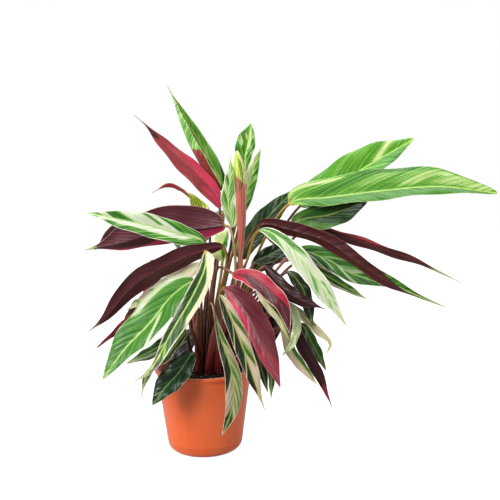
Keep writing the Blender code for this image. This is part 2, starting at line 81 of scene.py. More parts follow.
def node(tree, kind, settings=None, **links):
    """Add a node: settings are its properties or unlinked sockets, links feed its sockets."""
    new = tree.nodes.new(kind)
    for key, value in (settings or {}).items():
        if hasattr(new, key):
            setattr(new, key, value)
        else:
            new.inputs[int(key[1:]) if key[1:].isdigit() else key.replace("_", " ")].default_value = value
    for key, source in links.items():
        place = int(key[1:]) if key[1:].isdigit() else key.replace("_", " ")
        tree.links.new(source, new.inputs[place])
    return new


def fresh_material(name):
    """An empty material with its output, ready for nodes."""
    material = bpy.data.materials.new(name)
    material.use_nodes = True
    material.node_tree.nodes.clear()
    return material, material.node_tree


floor_mesh = bpy.data.meshes.new("floor")
corners = [(x * FLOOR_HALF, y * FLOOR_HALF, -FLOOR_DROP) for x, y in ((-1, -1), (1, -1), (1, 1), (-1, 1))]
floor_mesh.from_pydata(corners, [], [(0, 1, 2, 3)])
floor = bpy.data.objects.new("floor", floor_mesh)
bpy.context.scene.collection.objects.link(floor)
paper, tree = fresh_material("white_paper")
rays = node(tree, "ShaderNodeLightPath")
glow = node(tree, "ShaderNodeMapRange", {"To_Min": 0.0, "To_Max": PAPER_GLOW},
            Value=rays.outputs["Is Camera Ray"])
paper_look = {"Base_Color": (*linear("#a0a0a0"), 1), "Roughness": 0.9, "Emission_Color": (1, 1, 1, 1)}
shader = node(tree, "ShaderNodeBsdfPrincipled", paper_look, Emission_Strength=glow.outputs[0])
node(tree, "ShaderNodeOutputMaterial", Surface=shader.outputs[0])
floor_mesh.materials.append(paper)

# The room looks white, but lights things weakly, and shiny surfaces mirror it at a part of its strength.
world = bpy.data.worlds.new("white_room")
world.use_nodes = True
world.node_tree.nodes.clear()
tree = world.node_tree
rays = node(tree, "ShaderNodeLightPath")
shiny = node(tree, "ShaderNodeMath", {"operation": "MULTIPLY", "_1": SHEEN_SHARE},
             _0=rays.outputs["Is Glossy Ray"])
seen = node(tree, "ShaderNodeMath", {"operation": "ADD"}, _0=rays.outputs["Is Camera Ray"],
            _1=shiny.outputs[0])
strength = node(tree, "ShaderNodeMapRange", {"To_Min": ROOM_LIGHT, "To_Max": 1.0}, Value=seen.outputs[0])
glow = node(tree, "ShaderNodeBackground", {"Color": (1, 1, 1, 1)}, Strength=strength.outputs[0])
node(tree, "ShaderNodeOutputWorld", Surface=glow.outputs[0])
bpy.context.scene.world = world


def area_light(name, place, aim, size, power):
    """A square soft light at a place, turned to an aim point: its size in metres, its power in watts."""
    lamp = bpy.data.lights.new(name, "AREA")
    lamp.shape = "SQUARE"
    lamp.size = size
    lamp.energy = power
    body = bpy.data.objects.new(name, lamp)
    way = np.array(aim) - np.array(place)
    back = -way / np.linalg.norm(way)
    right = np.cross((0, 0, 1), back)
    right /= np.linalg.norm(right)
    turn = Matrix.Identity(4)
    for row in range(3):
        turn[row][0] = right[row]
        turn[row][1] = np.cross(back, right)[row]
        turn[row][2] = back[row]
        turn[row][3] = place[row]
    body.matrix_world = turn
    bpy.context.scene.collection.objects.link(body)


area_light("soft_key", (-1.2, -1.7, 1.5), (0.05, 0, 0.25), size=1.0, power=58.0)
area_light("soft_top", (0.3, 0.2, 2.1), (0.05, 0, 0.2), size=1.4, power=30.0)
area_light("soft_left", (-1.5, 0.35, 0.45), (0, 0, 0.1), size=0.8, power=9.0)
area_light("soft_right", (1.5, 0.35, 0.45), (0, 0, 0.1), size=0.8, power=8.0)


# Pot. A round tapered nursery pot of injection-moulded polypropylene in orange terracotta
# colour, thin walled, with a plain lip, a rounded foot, a fine raised line just above the foot
# and drain holes around its middle. It is one moulding, and stands on its flat underside.
MM = 0.001
RIM_RADIUS = 75.0
POT_HEIGHT = 126.0
LIP_HEIGHT = 5.0
LIP_WIDTH = 3.0
LIP_ROUNDING = 0.8
LIP_UNDERSIDE = 0.7
FOOT_RADIUS = 57.0
FOOT_ROUNDING = 12.0
WALL = 1.8
FLOOR = 2.5
INNER_CORNER = 1.0
LINE_HEIGHTS = np.array([15.0, 15.5, 16.3, 16.8])
LINE_RAISED = np.array([0, 0.2, 0.2, 0.05])
DRAIN_HOLES = 6
DRAIN_DIAMETER = 9.0
DRAIN_CIRCLE = 30.0
DRAIN_CUT = 10.0
POT_STEPS = 192
FLOW_WIDTH = 22.2
FLOW_HEIGHT = 200.0
DUST_PATCH = 28.6
PLASTIC_GRAIN = 0.67


def put(name, places, faces, replaced=(), smooth=40):
    """Make one piece of the plant from places in metres, tie it to the frame, and hide the parts that it
    replaces.
    """
    mesh = bpy.data.meshes.new(name)
    mesh.from_pydata(places, [], faces)
    mesh.shade_smooth()
    if smooth:
        mesh.set_sharp_from_angle(angle=math.radians(smooth))
    piece = bpy.data.objects.new(name, mesh)
    bpy.context.scene.collection.objects.link(piece)
    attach(piece, "root")
    if replaced:
        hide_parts(*replaced)
    return piece


def arc(middle, radius, start, end, steps):
    """Points around a middle from one angle to another, in equal steps of angle."""
    turn = np.radians(np.linspace(start, end, steps))
    return np.stack([middle[0] + radius * np.cos(turn), middle[1] + radius * np.sin(turn)], 1)


def turned(profile, steps):
    """Sweep (radius, height) points round the axis; the first and last lie on it and stay one point each."""
    turn = np.linspace(0, 2 * math.pi, steps, endpoint=False)
    body = profile[1:-1]
    radius, height = body[:, :1], body[:, 1:]
    ring = np.stack([radius * np.cos(turn), radius * np.sin(turn), height + 0 * turn], 2)
    places = np.concatenate([ring.reshape(-1, 3), [[0, 0, profile[0, 1]], [0, 0, profile[-1, 1]]]])
    index = np.arange(len(body) * steps).reshape(len(body), steps)
    after = np.roll(index, -1, 1)
    quads = np.stack([index[:-1], after[:-1], after[1:], index[1:]], 2).reshape(-1, 4).tolist()
    first, last = len(places) - 2, len(places) - 1
    start = np.stack([after[0], index[0], np.full(steps, first)], 1).tolist()
    end = np.stack([index[-1], after[-1], np.full(steps, last)], 1).tolist()
    return places, quads + start + end


# The foot's rounding runs into the sloping wall, and the wall runs up to the underside of the lip.
wall_top = RIM_RADIUS - LIP_WIDTH
slope = math.degrees(math.atan2(wall_top - FOOT_RADIUS, POT_HEIGHT - LIP_HEIGHT - FOOT_ROUNDING))
foot_top = FOOT_ROUNDING * (1 - math.sin(math.radians(slope)))
foot_touch = wall_top - (POT_HEIGHT - LIP_HEIGHT - foot_top) * math.tan(math.radians(slope))
foot_middle = foot_touch - FOOT_ROUNDING * math.cos(math.radians(slope))
foot = arc((foot_middle, FOOT_ROUNDING), FOOT_ROUNDING, -90, -slope, 14)
line_radius = foot_touch + (LINE_HEIGHTS - foot_top) * math.tan(math.radians(slope)) + LINE_RAISED
raised_line = np.stack([line_radius, LINE_HEIGHTS], 1)
lip = np.concatenate([[(wall_top, POT_HEIGHT - LIP_HEIGHT)],
                      arc((RIM_RADIUS - LIP_UNDERSIDE, POT_HEIGHT - LIP_HEIGHT + LIP_UNDERSIDE),
                          LIP_UNDERSIDE, -90, 0, 4),
                      arc((RIM_RADIUS - LIP_ROUNDING, POT_HEIGHT - LIP_ROUNDING), LIP_ROUNDING, 0, 90, 5),
                      arc((wall_top - WALL + LIP_ROUNDING, POT_HEIGHT - LIP_ROUNDING),
                          LIP_ROUNDING, 90, 180, 5)])
inner_rounding = FOOT_ROUNDING - INNER_CORNER
inside = np.concatenate([[(foot_touch - WALL, foot_top + INNER_CORNER)],
                         arc((foot_middle - WALL, inner_rounding + FLOOR), inner_rounding, -15, -90, 7)])
profile = np.concatenate([[(0, 0)], foot, raised_line, lip, inside, [(0, FLOOR)]])
places, faces = turned(profile, POT_STEPS)
pot = put("pot_shell", places * MM, faces, ["pot"])

# The drain holes are cut through the floor by upright rods on a circle.
shape = bmesh.new()
for step in range(DRAIN_HOLES):
    turn = 2 * math.pi * (step + 0.5) / DRAIN_HOLES
    hole = bmesh.ops.create_cone(shape, cap_ends=True, segments=32, radius1=DRAIN_DIAMETER / 2 * MM,
                                 radius2=DRAIN_DIAMETER / 2 * MM, depth=DRAIN_CUT * MM)
    bmesh.ops.translate(shape, verts=hole["verts"],
                        vec=(DRAIN_CIRCLE * math.cos(turn) * MM, DRAIN_CIRCLE * math.sin(turn) * MM, 0))
cutter_mesh = bpy.data.meshes.new("drains")
shape.to_mesh(cutter_mesh)
shape.free()
cutter = bpy.data.objects.new("drains", cutter_mesh)
bpy.context.scene.collection.objects.link(cutter)
modifier = pot.modifiers.new("drains", "BOOLEAN")
modifier.object = cutter
with_holes = bpy.data.meshes.new_from_object(pot.evaluated_get(bpy.context.evaluated_depsgraph_get()))
pot.modifiers.clear()
pot.data = with_holes
bpy.data.objects.remove(cutter)

# Moulded polypropylene has a soft sheen that pales its edges, a hardly visible flow of the pigment,
# 22 mm across and 200 mm up, dust in patches of about 29 mm that dull it, and a grain of 0.7 mm.
plastic, tree = fresh_material("moulded_polypropylene")
place = node(tree, "ShaderNodeTexCoord").outputs["Object"]
flow_scale = [1 / (size * MM) for size in (FLOW_WIDTH, FLOW_WIDTH, FLOW_HEIGHT)]
flow_place = node(tree, "ShaderNodeMapping", {"Scale": flow_scale}, Vector=place)
flow = node(tree, "ShaderNodeTexNoise", {"Scale": 1.0, "Detail": 4.0}, Vector=flow_place.outputs[0])
colour = node(tree, "ShaderNodeValToRGB", Fac=flow.outputs["Fac"])
colour.color_ramp.elements[0].position = 0.3
colour.color_ramp.elements[0].color = (*linear("#e8622a"), 1)
colour.color_ramp.elements[1].position = 0.75
colour.color_ramp.elements[1].color = (*linear("#f07038"), 1)
dust = node(tree, "ShaderNodeTexNoise", {"Scale": 1 / (DUST_PATCH * MM), "Detail": 6.0}, Vector=place)
rough = node(tree, "ShaderNodeMapRange", {"From_Min": 0.3, "From_Max": 0.7, "To_Min": 0.34, "To_Max": 0.5},
             Value=dust.outputs["Fac"])
grain = node(tree, "ShaderNodeTexNoise", {"Scale": 1 / (PLASTIC_GRAIN * MM), "Detail": 2.0}, Vector=place)
bump = node(tree, "ShaderNodeBump", {"Strength": 0.06, "Distance": 0.0004}, Height=grain.outputs["Fac"])
shader = node(tree, "ShaderNodeBsdfPrincipled", {"IOR": 1.49, "Sheen_Weight": 0.9, "Sheen_Roughness": 0.34},
              Base_Color=colour.outputs[0], Roughness=rough.outputs[0], Normal=bump.outputs[0])
node(tree, "ShaderNodeOutputMaterial", Surface=shader.outputs[0])
pot.data.materials.clear()
pot.data.materials.append(plastic)


# Soil. Dark damp peat, heaped a little towards the middle and pressed lower at the wall, with
# crumbs and white grains of perlite lying on it. It fills the pot, and the stalks stand in it.
SOIL_HEIGHT = 117.0
MOUND = 1.3
SOIL_GAP = 0.6
SOIL_STEPS = 220
SOIL_RINGS = 46
CALM_AT_WALL = 4.0
LUMP_REACH = 68.0
COARSE_LUMPS = (160, 4.5, 1.6)
FINE_LUMPS = (420, 1.6, 1.4)
LUMP_SINK = 1.6
PEAT_CRUMB = 3.85
chance = np.random.default_rng(7)


def lumps(x, y, count, size, height):
    """Sum of count round bumps at seeded places: each a Gaussian of the distance, 0.3 to 1 of the height."""
    spots = chance.uniform(-LUMP_REACH, LUMP_REACH, (count, 2))
    tall = chance.uniform(0.3, 1.0, count) * height
    far = (x[..., None] - spots[:, 0]) ** 2 + (y[..., None] - spots[:, 1]) ** 2
    return (tall * np.exp(-far / (2 * size ** 2))).sum(-1)


edge_height = SOIL_HEIGHT - 2 * MOUND
wall_radius = np.interp(edge_height, [foot_top, POT_HEIGHT - LIP_ROUNDING], [foot_touch, wall_top])
wall_radius = wall_radius - WALL - SOIL_GAP
share = np.linspace(0.02, 1, SOIL_RINGS)
mound = np.stack([wall_radius * share, SOIL_HEIGHT + MOUND - 3 * MOUND * share ** 2], 1)
soil_profile = np.concatenate([[(0, SOIL_HEIGHT + MOUND)], mound,
                               [(foot_touch - WALL - SOIL_GAP - INNER_CORNER, FOOT_ROUNDING + FLOOR),
                                (foot_middle - WALL, FLOOR + SOIL_GAP), (0, FLOOR + SOIL_GAP)]])
places, faces = turned(soil_profile, SOIL_STEPS)

# The top falls as the square of the distance from its middle, and lumps lie on it away from the wall.
on_top = places[:, 2] > edge_height - 0.01
x, y = places[on_top, 0], places[on_top, 1]
calm = np.clip((wall_radius - np.hypot(x, y)) / CALM_AT_WALL, 0, 1)
places[on_top, 2] += calm * (lumps(x, y, *COARSE_LUMPS) + lumps(x, y, *FINE_LUMPS) - LUMP_SINK)
soil = put("soil_surface", places * MM, [face[::-1] for face in faces], ["soil"], 0)

crumb_shape = bmesh.new()
bmesh.ops.create_icosphere(crumb_shape, subdivisions=1, radius=1.0)
unit = np.array([v.co[:] for v in crumb_shape.verts])
unit_faces = np.array([[v.index for v in f.verts] for f in crumb_shape.faces])
crumb_shape.free()


def scatter(name, count, reach, lift, sizes, stretch, dents):
    """Round bits lying on the soil, spread evenly: a place's radius is the root of a random share of reach.

    Each is a small ball of a random one of sizes, in mm, stretched along each axis, with its corners moved
    in or out by up to dents of their distance from its middle, and its middle lift above the soil.
    """
    radius = wall_radius * np.sqrt(chance.uniform(*reach, count))
    turn = chance.uniform(0, 2 * math.pi, count)
    height = SOIL_HEIGHT + MOUND + lift - 3 * MOUND * (radius / wall_radius) ** 2
    middle = np.stack([radius * np.cos(turn), radius * np.sin(turn), height], 1)
    scale = chance.uniform(*sizes, (count, 1, 1)) * chance.uniform(*stretch, (count, 1, 3))
    bits = np.repeat(unit[None], count, axis=0)
    if dents:
        bits = bits * (1 + chance.uniform(-dents, dents, (count, len(unit), 1)))
    places = (middle[:, None] + bits * scale).reshape(-1, 3)
    faces = (unit_faces[None] + (np.arange(count) * len(unit))[:, None, None]).reshape(-1, 3)
    return put(name, places * MM, faces.tolist(), (), 0)


crumbs = scatter("soil_crumbs", 420, reach=(0, 0.94), lift=0.5, sizes=(0.7, 2.1),
                 stretch=(0.5, 1.3), dents=0.25)
grains = scatter("perlite_grains", 60, reach=(0.05, 0.9), lift=1.0, sizes=(0.5, 1.2),
                 stretch=(0.8, 1.2), dents=0)

# Perlite is volcanic glass puffed by heat into white, dull, soil-stained grains of 1 to 3 mm.
perlite, tree = fresh_material("white_perlite")
shader = node(tree, "ShaderNodeBsdfPrincipled", {"Base_Color": (*linear("#cfc4b4"), 1), "Roughness": 0.8})
node(tree, "ShaderNodeOutputMaterial", Surface=shader.outputs[0])
grains.data.materials.append(perlite)

# Damp peat is nearly black and matt, with browner dry crumbs about 4 mm across.
peat, tree = fresh_material("damp_peat")
place = node(tree, "ShaderNodeTexCoord").outputs["Object"]
crumble = node(tree, "ShaderNodeTexNoise", {"Scale": 1 / (PEAT_CRUMB * MM), "Detail": 6.0,
                                               "Roughness": 0.7}, Vector=place)
colour = node(tree, "ShaderNodeValToRGB", Fac=crumble.outputs["Fac"])
colour.color_ramp.elements[0].position = 0.35
colour.color_ramp.elements[0].color = (*linear("#120c08"), 1)
colour.color_ramp.elements[1].position = 0.72
colour.color_ramp.elements[1].color = (*linear("#4a3324"), 1)
bump = node(tree, "ShaderNodeBump", {"Strength": 0.8, "Distance": 0.001}, Height=crumble.outputs["Fac"])
shader = node(tree, "ShaderNodeBsdfPrincipled", {"Roughness": 0.95, "Specular_IOR_Level": 0.25},
              Base_Color=colour.outputs[0], Normal=bump.outputs[0])
node(tree, "ShaderNodeOutputMaterial", Surface=shader.outputs[0])
soil.data.materials.append(peat)
crumbs.data.materials.append(peat)


# Leaves. Each is a lance-shaped blade on a long thin stalk, grown in one piece, and some stalks
# start in a thicker sheath. The upper side is green, and cream in wedges that the side veins
# bound; the underside is maroon, and pink where the upper side is cream.
WAVE_STEP = 1.7
VEIN_LEAN = 1.7
LEAVES = []


def leaf(name, blade, halves, face, slot="green_leaf", stalk=(), widest=0.42, blunt=0.55, tip=0.35,
         fold=(22, 22), arch=(-30, -30), twist=0.0, wave=2.0, rise=0.26, sheath=None, roll=None,
         upper="#ffffff", under="#ffffff", petiole="#8a5c38", white=(0.0, 0.0), marks=(), margin="#dfe6c4",
         line=0.7, pale_end=(0.0, 0.88), turned=(0, 1.0), lean=VEIN_LEAN, contrast=1.0):
    """List a leaf: its shape as in the part's source, in mm and degrees, and its colours.

    blade, stalk: points that its midrib runs through from the blade's start to its tip, and those before
    halves: greatest widths of its left and right half; face: the way its upper side looks
    widest, blunt, tip: where it is widest, how blunt its start is, and how much its tip thins
    fold, arch: slope of each half at the midrib, and how much it changes out to the edge
    twist, wave: turn from start to tip, and height of the edge's waves
    rise: how far outwards the stalk has gone where it bends
    sheath: radius and height of a thick foot; roll: greatest radius of a rolled blade, and where
    upper, under: tints of the two sides, which are darker on leaves that lie in shade as painted shade;
    petiole, margin: colours of the stalk and of the edge
    white: how much the left and right half lack green, from -1, dark, over 0 to 1, cream or pink; the
    darkest levels, on leaves that lie in shade, are painted shade
    marks: wedges (half, from, to, inner, outer, white) between two side veins and two lines along, on
    the left half, -1, the right one, 1, or both, 0
    line: width of the margin; pale_end: how pale the tip is, and where that starts
    turned: the half whose underside is green too beyond a place along the blade
    lean: how far the side veins run along the blade for each step outwards
    contrast: how strong its streaks are
    """
    LEAVES.append(dict(name=name, blade=blade, halves=halves, face=face, slot=slot, stalk=list(stalk),
                       widest=widest, blunt=blunt, tip=tip, fold=fold, arch=arch, twist=twist, wave=wave,
                       rise=rise, sheath=sheath, roll=roll, upper=upper, under=under, petiole=petiole,
                       white=white, marks=marks, margin=margin, line=line, pale_end=pale_end,
                       turned=turned, lean=lean, contrast=contrast, phase=WAVE_STEP * len(LEAVES)))


# On the left
# Its two darkest wedges, at the start of the blade, are painted shade.
leaf("top_left", [(32, 44, 390), (15, 46, 432), (-15, 42, 485), (-50, 24, 550)], (48, 12),
     (0.45, -0.85, 0.2), widest=0.3, fold=(5, 25), arch=(165, -20), wave=1.0, tip=0.75,
     pale_end=(0.8, 0.88), upper="#f2ffc8", under="#ffc09c", white=(0.34, 0.3), margin="#dfe6b8",
     marks=[(0, -0.5, 0.03, 0, 1, -0.9), (1, -1, 0.0, 0, 1, -0.8), (-1, 0.05, 0.2, 0, 0.4, 0.7),
            (0, 0.3, 0.34, 0, 0.5, 0.7), (1, 0.42, 0.46, 0, 0.5, 0.6), (-1, -1, 0.5, 0.5, 1, 0.3)],
     blunt=0.5, turned=(-1, 0.4), lean=3.0, contrast=0.7)
leaf("pink_left",
     [(27, 12, 365), (17, 8, 390), (-6, 0, 417), (-30, -8, 440), (-54, -16, 464), (-76, -26, 488),
      (-93, -31, 503)],
     (16, 16), (-0.3, 0.9, -0.3), "pink_leaf", widest=0.3, blunt=0.6, fold=(18, 18), sheath=(4.5, 140),
     tip=0.75, under="#ffece0", white=(0.56, 0.52), petiole="#8a4340", pale_end=(0.6, 0.88),
     margin="#b5605a",
     marks=[(-1, -0.2, 0.32, 0, 0.95, 0.92), (1, -0.3, 0.12, 0, 0.5, 0.88), (0, 0.72, 1.2, 0, 1, -0.1)],
     lean=3.0)
leaf("small_curl", [(8, 28, 345), (-6, 27, 366), (-30, 20, 391), (-52, 14, 400), (-74, 6, 390)], (17, 13),
     (0, -0.25, 1), widest=0.25, twist=-220, wave=1.0, upper="#f6f06a", under="#ffc8b4",
     white=(0.52, 0.5), margin="#d8b090", contrast=1.6)
# Its grey cast and pale level are partly its own grey-maroon and partly a painted sheen.
leaf("grey_left", [(36, -4, 340), (0, 4, 336), (-65, 2, 330), (-125, 0, 315), (-180, 0, 305)], (39, 22),
     (0.1, 0.95, 0.3), "maroon_leaf", widest=0.36, sheath=(5, 120), tip=0.75, pale_end=(1.0, 0.88),
     under="#dcd4e0", white=(0.16, 0.0), margin="#e0a0a0", petiole="#b08a50",
     marks=[(1, -0.6, 0.3, 0.2, 1, 0.88), (1, 0.3, 2, 0.82, 1, 0.75)], lean=3.0,
     stalk=[(49, -45, 262), (50, -45, 306), (45, -34, 334)])
leaf("cream_left", [(5, -22, 315), (-30, -34, 330), (-75, -46, 345), (-115, -58, 355), (-155, -68, 365)],
     (19, 18), (0, -0.9, 0.45), "variegated_leaf", margin="#eef2dc", line=0.9, white=(0.05, -0.05),
     upper="#f0f8f0",
     marks=[(1, 0.2, 0.6, 0, 1, 0.88), (1, 0.3, 0.36, 0.3, 0.9, 0.35), (1, -0.4, 0.2, 0, 0.3, 0.6),
            (-1, 0.1, 0.95, 0, 0.5, 0.9), (0, 0.78, 0.86, 0, 1, 0.9)],
     lean=2.2, petiole="#9c7030")
leaf("maroon_left",
     [(35, -42, 310), (-5, -50, 305), (-55, -62, 285), (-95, -74, 260), (-130, -84, 220), (-155, -90, 200)],
     (17, 20), (-0.2, 0.9, 0.45), "maroon_leaf", widest=0.45, tip=0.75, under="#f4dcdc",
     white=(-0.08, 0.0), margin="#6a3038", line=0.2, pale_end=(0.9, 0.9), lean=3.6, petiole="#a8842c")
leaf("green_left",
     [(-5, -66, 265), (-35, -78, 250), (-65, -94, 215), (-100, -108, 180), (-130, -120, 140)], (24, 30),
     (-0.3, -0.85, 0.45), rise=0.34, white=(0.04, 0.08), upper="#dce4d4",
     marks=[(1, -0.7, 0.2, 0.7, 0.95, 0.85), (1, -0.3, -0.2, 0.3, 0.7, 0.5),
            (-1, 0.3, 0.37, 0.15, 1, 0.85), (1, 0.42, 0.46, 0, 0.6, 0.3), (0, 0.3, 0.82, 0, 0.06, 0.6),
            (0, 0.85, 1.2, 0, 1, 0.25)],
     contrast=0.6)
leaf("cream_fold",
     [(10, -74, 310), (10, -82, 290), (-5, -98, 255), (-35, -116, 205), (-65, -130, 155), (-100, -138, 135)],
     (17, 10), (-0.2, -0.95, 0.3), "variegated_leaf", [(0, -62, 280)], widest=0.3, blunt=0.5, rise=0.22,
     sheath=(6, 110), petiole="#b8883c", margin="#efe2cc", line=1.5, tip=0.75, pale_end=(0.8, 0.88),
     white=(-0.46, -0.52), upper="#fff4d4",
     marks=[(-1, -1, 0.08, 0, 1, 1.0), (1, -1, -0.08, 0, 1, 0.9), (-1, -0.1, 0.32, 0.62, 1, 0.95),
            (-1, 0.3, 0.6, 0.85, 1, 0.8), (0, 0.6, 0.64, 0.2, 1, 0.4)],
     lean=2.4, contrast=0.6)
leaf("thin_left", [(-15, -58, 195), (-45, -86, 165), (-70, -104, 145), (-80, -118, 110)], (8, 6),
     (-0.4, -0.8, 0.4), "dark_leaf", upper="#c0c4a8", white=(-0.4, -0.3), margin="#d8b0a0", tip=0.75)
leaf("speckled_low", [(-30, -20, 190), (-65, -40, 165), (-110, -56, 145)], (14, 9), (-0.3, -0.9, 0.4),
     upper="#b8c0b0", white=(-0.3, -0.3), marks=[(-1, 0.05, 0.9, 0.35, 0.75, 0.75)], line=1.0)
leaf("green_pot", [(-10, -76, 165), (-30, -92, 140), (-50, -102, 120), (-65, -108, 100)], (18, 20),
     (-0.3, -0.9, 0.35), "dark_leaf", upper="#7c9888", white=(-0.42, -0.5), line=0.2,
     marks=[(-1, 0.1, 0.15, 0, 0.5, 0.1), (1, 0.2, 0.24, 0, 0.6, 0.1), (-1, 0.4, 0.45, 0, 0.7, 0.15),
            (1, 0.5, 0.56, 0, 0.6, 0.2), (0, 0.72, 0.77, 0, 0.8, 0.2)])
leaf("maroon_low", [(-35, -8, 240), (-75, -22, 225), (-110, -34, 200), (-155, -44, 165)], (8, 8),
     (-0.2, 0.9, 0.4), "maroon_leaf", under="#e09898", white=(0.35, 0.3), margin="#a04048")
leaf("speckled_mid", [(5, -32, 285), (-30, -42, 270), (-65, -50, 250), (-105, -60, 225)], (14, 10),
     (-0.2, -0.95, 0.3), "variegated_leaf", white=(0.95, 0.9), upper="#f4e6de",
     marks=[(0, 0.55, 0.62, 0, 0.8, 0.2), (0, 0.8, 0.85, 0, 0.8, 0.1)])

# Upright, and on the right
leaf("crown", [(66, 45, 416), (66, 46, 440), (71, 48, 466), (76, 46, 495)], (19, 13), (-0.2, -0.95, 0.2),
     widest=0.55, blunt=1.0, white=(0.16, 0.14), upper="#e8f6c0", margin="#f0f2dc",
     marks=[(1, 0.45, 0.92, 0.08, 0.42, 1.0), (-1, 0.32, 0.42, 0.4, 0.85, 0.95),
            (-1, 0.6, 0.7, 0.1, 0.5, 0.9), (1, -0.2, 0.4, 0, 0.22, 0.55)])
leaf("pale_centre", [(47, -13, 338), (41, -18, 378), (45, -18, 415), (45, -14, 445)], (11, 12),
     (-0.3, -0.95, 0.2), "variegated_leaf", white=(0.5, 0.4), margin="#f2f0da", line=1.6, upper="#f0f4e8",
     marks=[(0, 0.25, 0.33, 0.1, 0.8, 0.0), (-1, 0.5, 0.6, 0.1, 0.8, 0.05),
            (1, 0.45, 0.52, 0, 0.7, 0.0), (0, 0.75, 1.2, 0, 0.8, 0.15)],
     widest=0.38, lean=2.6, contrast=1.3)
leaf("cream_centre", [(60, 32, 355), (70, 34, 395), (80, 34, 430), (90, 32, 455)], (10, 11),
     (0.2, -0.9, 0.2), "variegated_leaf", white=(0.98, 0.16), upper="#eefac8")
# Its paler streak on the left half is a painted sheen.
leaf("dusky", [(56, 17, 287), (86, 24, 334), (140, 31, 391)], (18, 20), (-0.3, -0.9, 0.3), "dark_leaf",
     blunt=0.4, upper="#a0b0a4", white=(-0.25, -0.4), line=0.3, marks=[(-1, 0.2, 0.3, 0, 0.9, 0.1)],
     contrast=0.6, petiole="#7a6a3c")
leaf("broad_right", [(150, 50, 365), (200, 58, 390), (255, 66, 425), (300, 74, 450), (335, 80, 470)],
     (36, 26), (-0.2, -0.85, 0.5), widest=0.42, white=(0.22, 0.1), line=0.3, upper="#e6fcb4",
     marks=[(-1, 0.62, 0.7, 0, 1, 1.0), (-1, 0.1, 0.2, 0.3, 1, 0.34), (1, 0.5, 0.56, 0.1, 0.8, 0.4),
            (0, 0.9, 1.3, 0, 1, 0.3)],
     blunt=0.45, contrast=0.35)
# The paler wedges on its left half, from about a quarter of the way along to near the tip, are painted
# sheen.
leaf("long_right", [(130, 4, 370), (190, 2, 380), (275, -6, 390), (350, -18, 395), (430, -34, 385)],
     (37, 19), (0, -0.8, 0.62), blunt=0.4, sheath=(5, 120), petiole="#c9943c", white=(0.2, 0.0), line=0.5,
     upper="#f6fcd4",
     marks=[(0, -0.5, 0.02, 0, 1, 0.3), (-1, -0.26, 0.04, 0.76, 0.84, 1.0),
            (-1, 0.06, 0.2, 0.2, 0.9, 0.02), (-1, 0.24, 0.5, 0.3, 0.8, 0.4),
            (-1, 0.5, 0.95, 0.15, 0.85, 0.52), (-1, 0.36, 0.4, 0, 0.7, 0.0),
            (-1, 0.6, 0.63, 0, 0.6, 0.05), (-1, 0.06, 0.4, 0.8, 1, -0.1)],
     contrast=0.42, margin="#c8e080")
leaf("under_right", [(135, 0, 340), (195, 4, 355), (250, 10, 375)], (18, 26), (0.1, -0.8, 0.6),
     "dark_leaf", blunt=0.45, upper="#a8b088", white=(-0.2, -0.35), line=0.3,
     marks=[(-1, -0.6, -0.1, 0.4, 1, 0.95), (0, -0.5, 0.12, 0, 1, 0.2)], contrast=0.5)
leaf("maroon_right",
     [(85, -16, 340), (130, -24, 335), (180, -36, 320), (225, -48, 290), (270, -56, 260), (350, -68, 225)],
     (14, 13), (0.1, 0.8, 0.6), "maroon_leaf", widest=0.3, tip=0.75, under="#f0c8bc", white=(-0.1, -0.14),
     margin="#8a4a40", line=0.3, pale_end=(0.9, 0.88), turned=(1, 0.62), upper="#e4fcc0", lean=3.6,
     blunt=0.25, petiole="#8a4a40")
leaf("maroon_back", [(155, 20, 330), (215, 16, 320), (275, 10, 300), (330, 4, 280), (390, -2, 250)],
     (11, 8), (0, 0.85, 0.55), "maroon_leaf", widest=0.32, tip=0.75, under="#f8ccc0",
     pale_end=(0.9, 0.78), white=(-0.12, -0.1), margin="#a83a48", line=0.6,
     marks=[(1, -0.5, 0.4, 0.5, 1, 0.62), (-1, -0.5, 0.1, 0.5, 1, 0.5)], lean=3.6)
leaf("white_arch", [(85, -42, 335), (115, -58, 325), (140, -76, 300), (170, -92, 260), (205, -110, 205)],
     (13, 18), (0.3, -0.85, 0.4), "variegated_leaf", [(67, -34, 290)], widest=0.5, tip=0.75,
     petiole="#b0802c", white=(0.8, 0.72), upper="#e8eee8", margin="#f4f2e4", line=1.3,
     marks=[(-1, -0.6, 0.3, 0, 0.8, 0.0), (1, -0.8, 0.12, 0, 0.92, 0.04),
            (1, 0.5, 0.56, 0.1, 0.7, 0.25), (-1, 0.56, 0.78, 0.35, 0.5, 0.2),
            (1, 0.7, 0.74, 0.2, 0.8, 0.3)],
     lean=2.2, contrast=0.8)
leaf("speckled_right", [(140, -16, 300), (185, -20, 290), (220, -26, 270), (280, -32, 250)], (17, 16),
     (0.1, -0.9, 0.4), white=(0.06, -0.06), upper="#c4ccc8",
     marks=[(1, 0.04, 0.09, 0.2, 1, 0.85), (1, 0.4, 0.47, 0, 1, 0.9), (-1, 0.24, 0.27, 0.1, 0.8, 0.8),
            (-1, 0.5, 0.56, 0, 0.6, 0.8), (1, 0.22, 0.25, 0, 0.7, 0.7), (0, 0.82, 1.2, 0, 1, 0.85)],
     contrast=1.1, lean=2.2, petiole="#a8604c")
leaf("low_right", [(145, -4, 285), (175, -10, 270), (210, -16, 250), (245, -22, 230)], (8, 10),
     (0.1, -0.9, 0.4), white=(0.05, -0.3), upper="#c4d0b4", marks=[(1, -0.3, 0.9, 0.55, 1, 0.9)],
     margin="#f0d4c8", line=1.0, petiole="#a8604c")
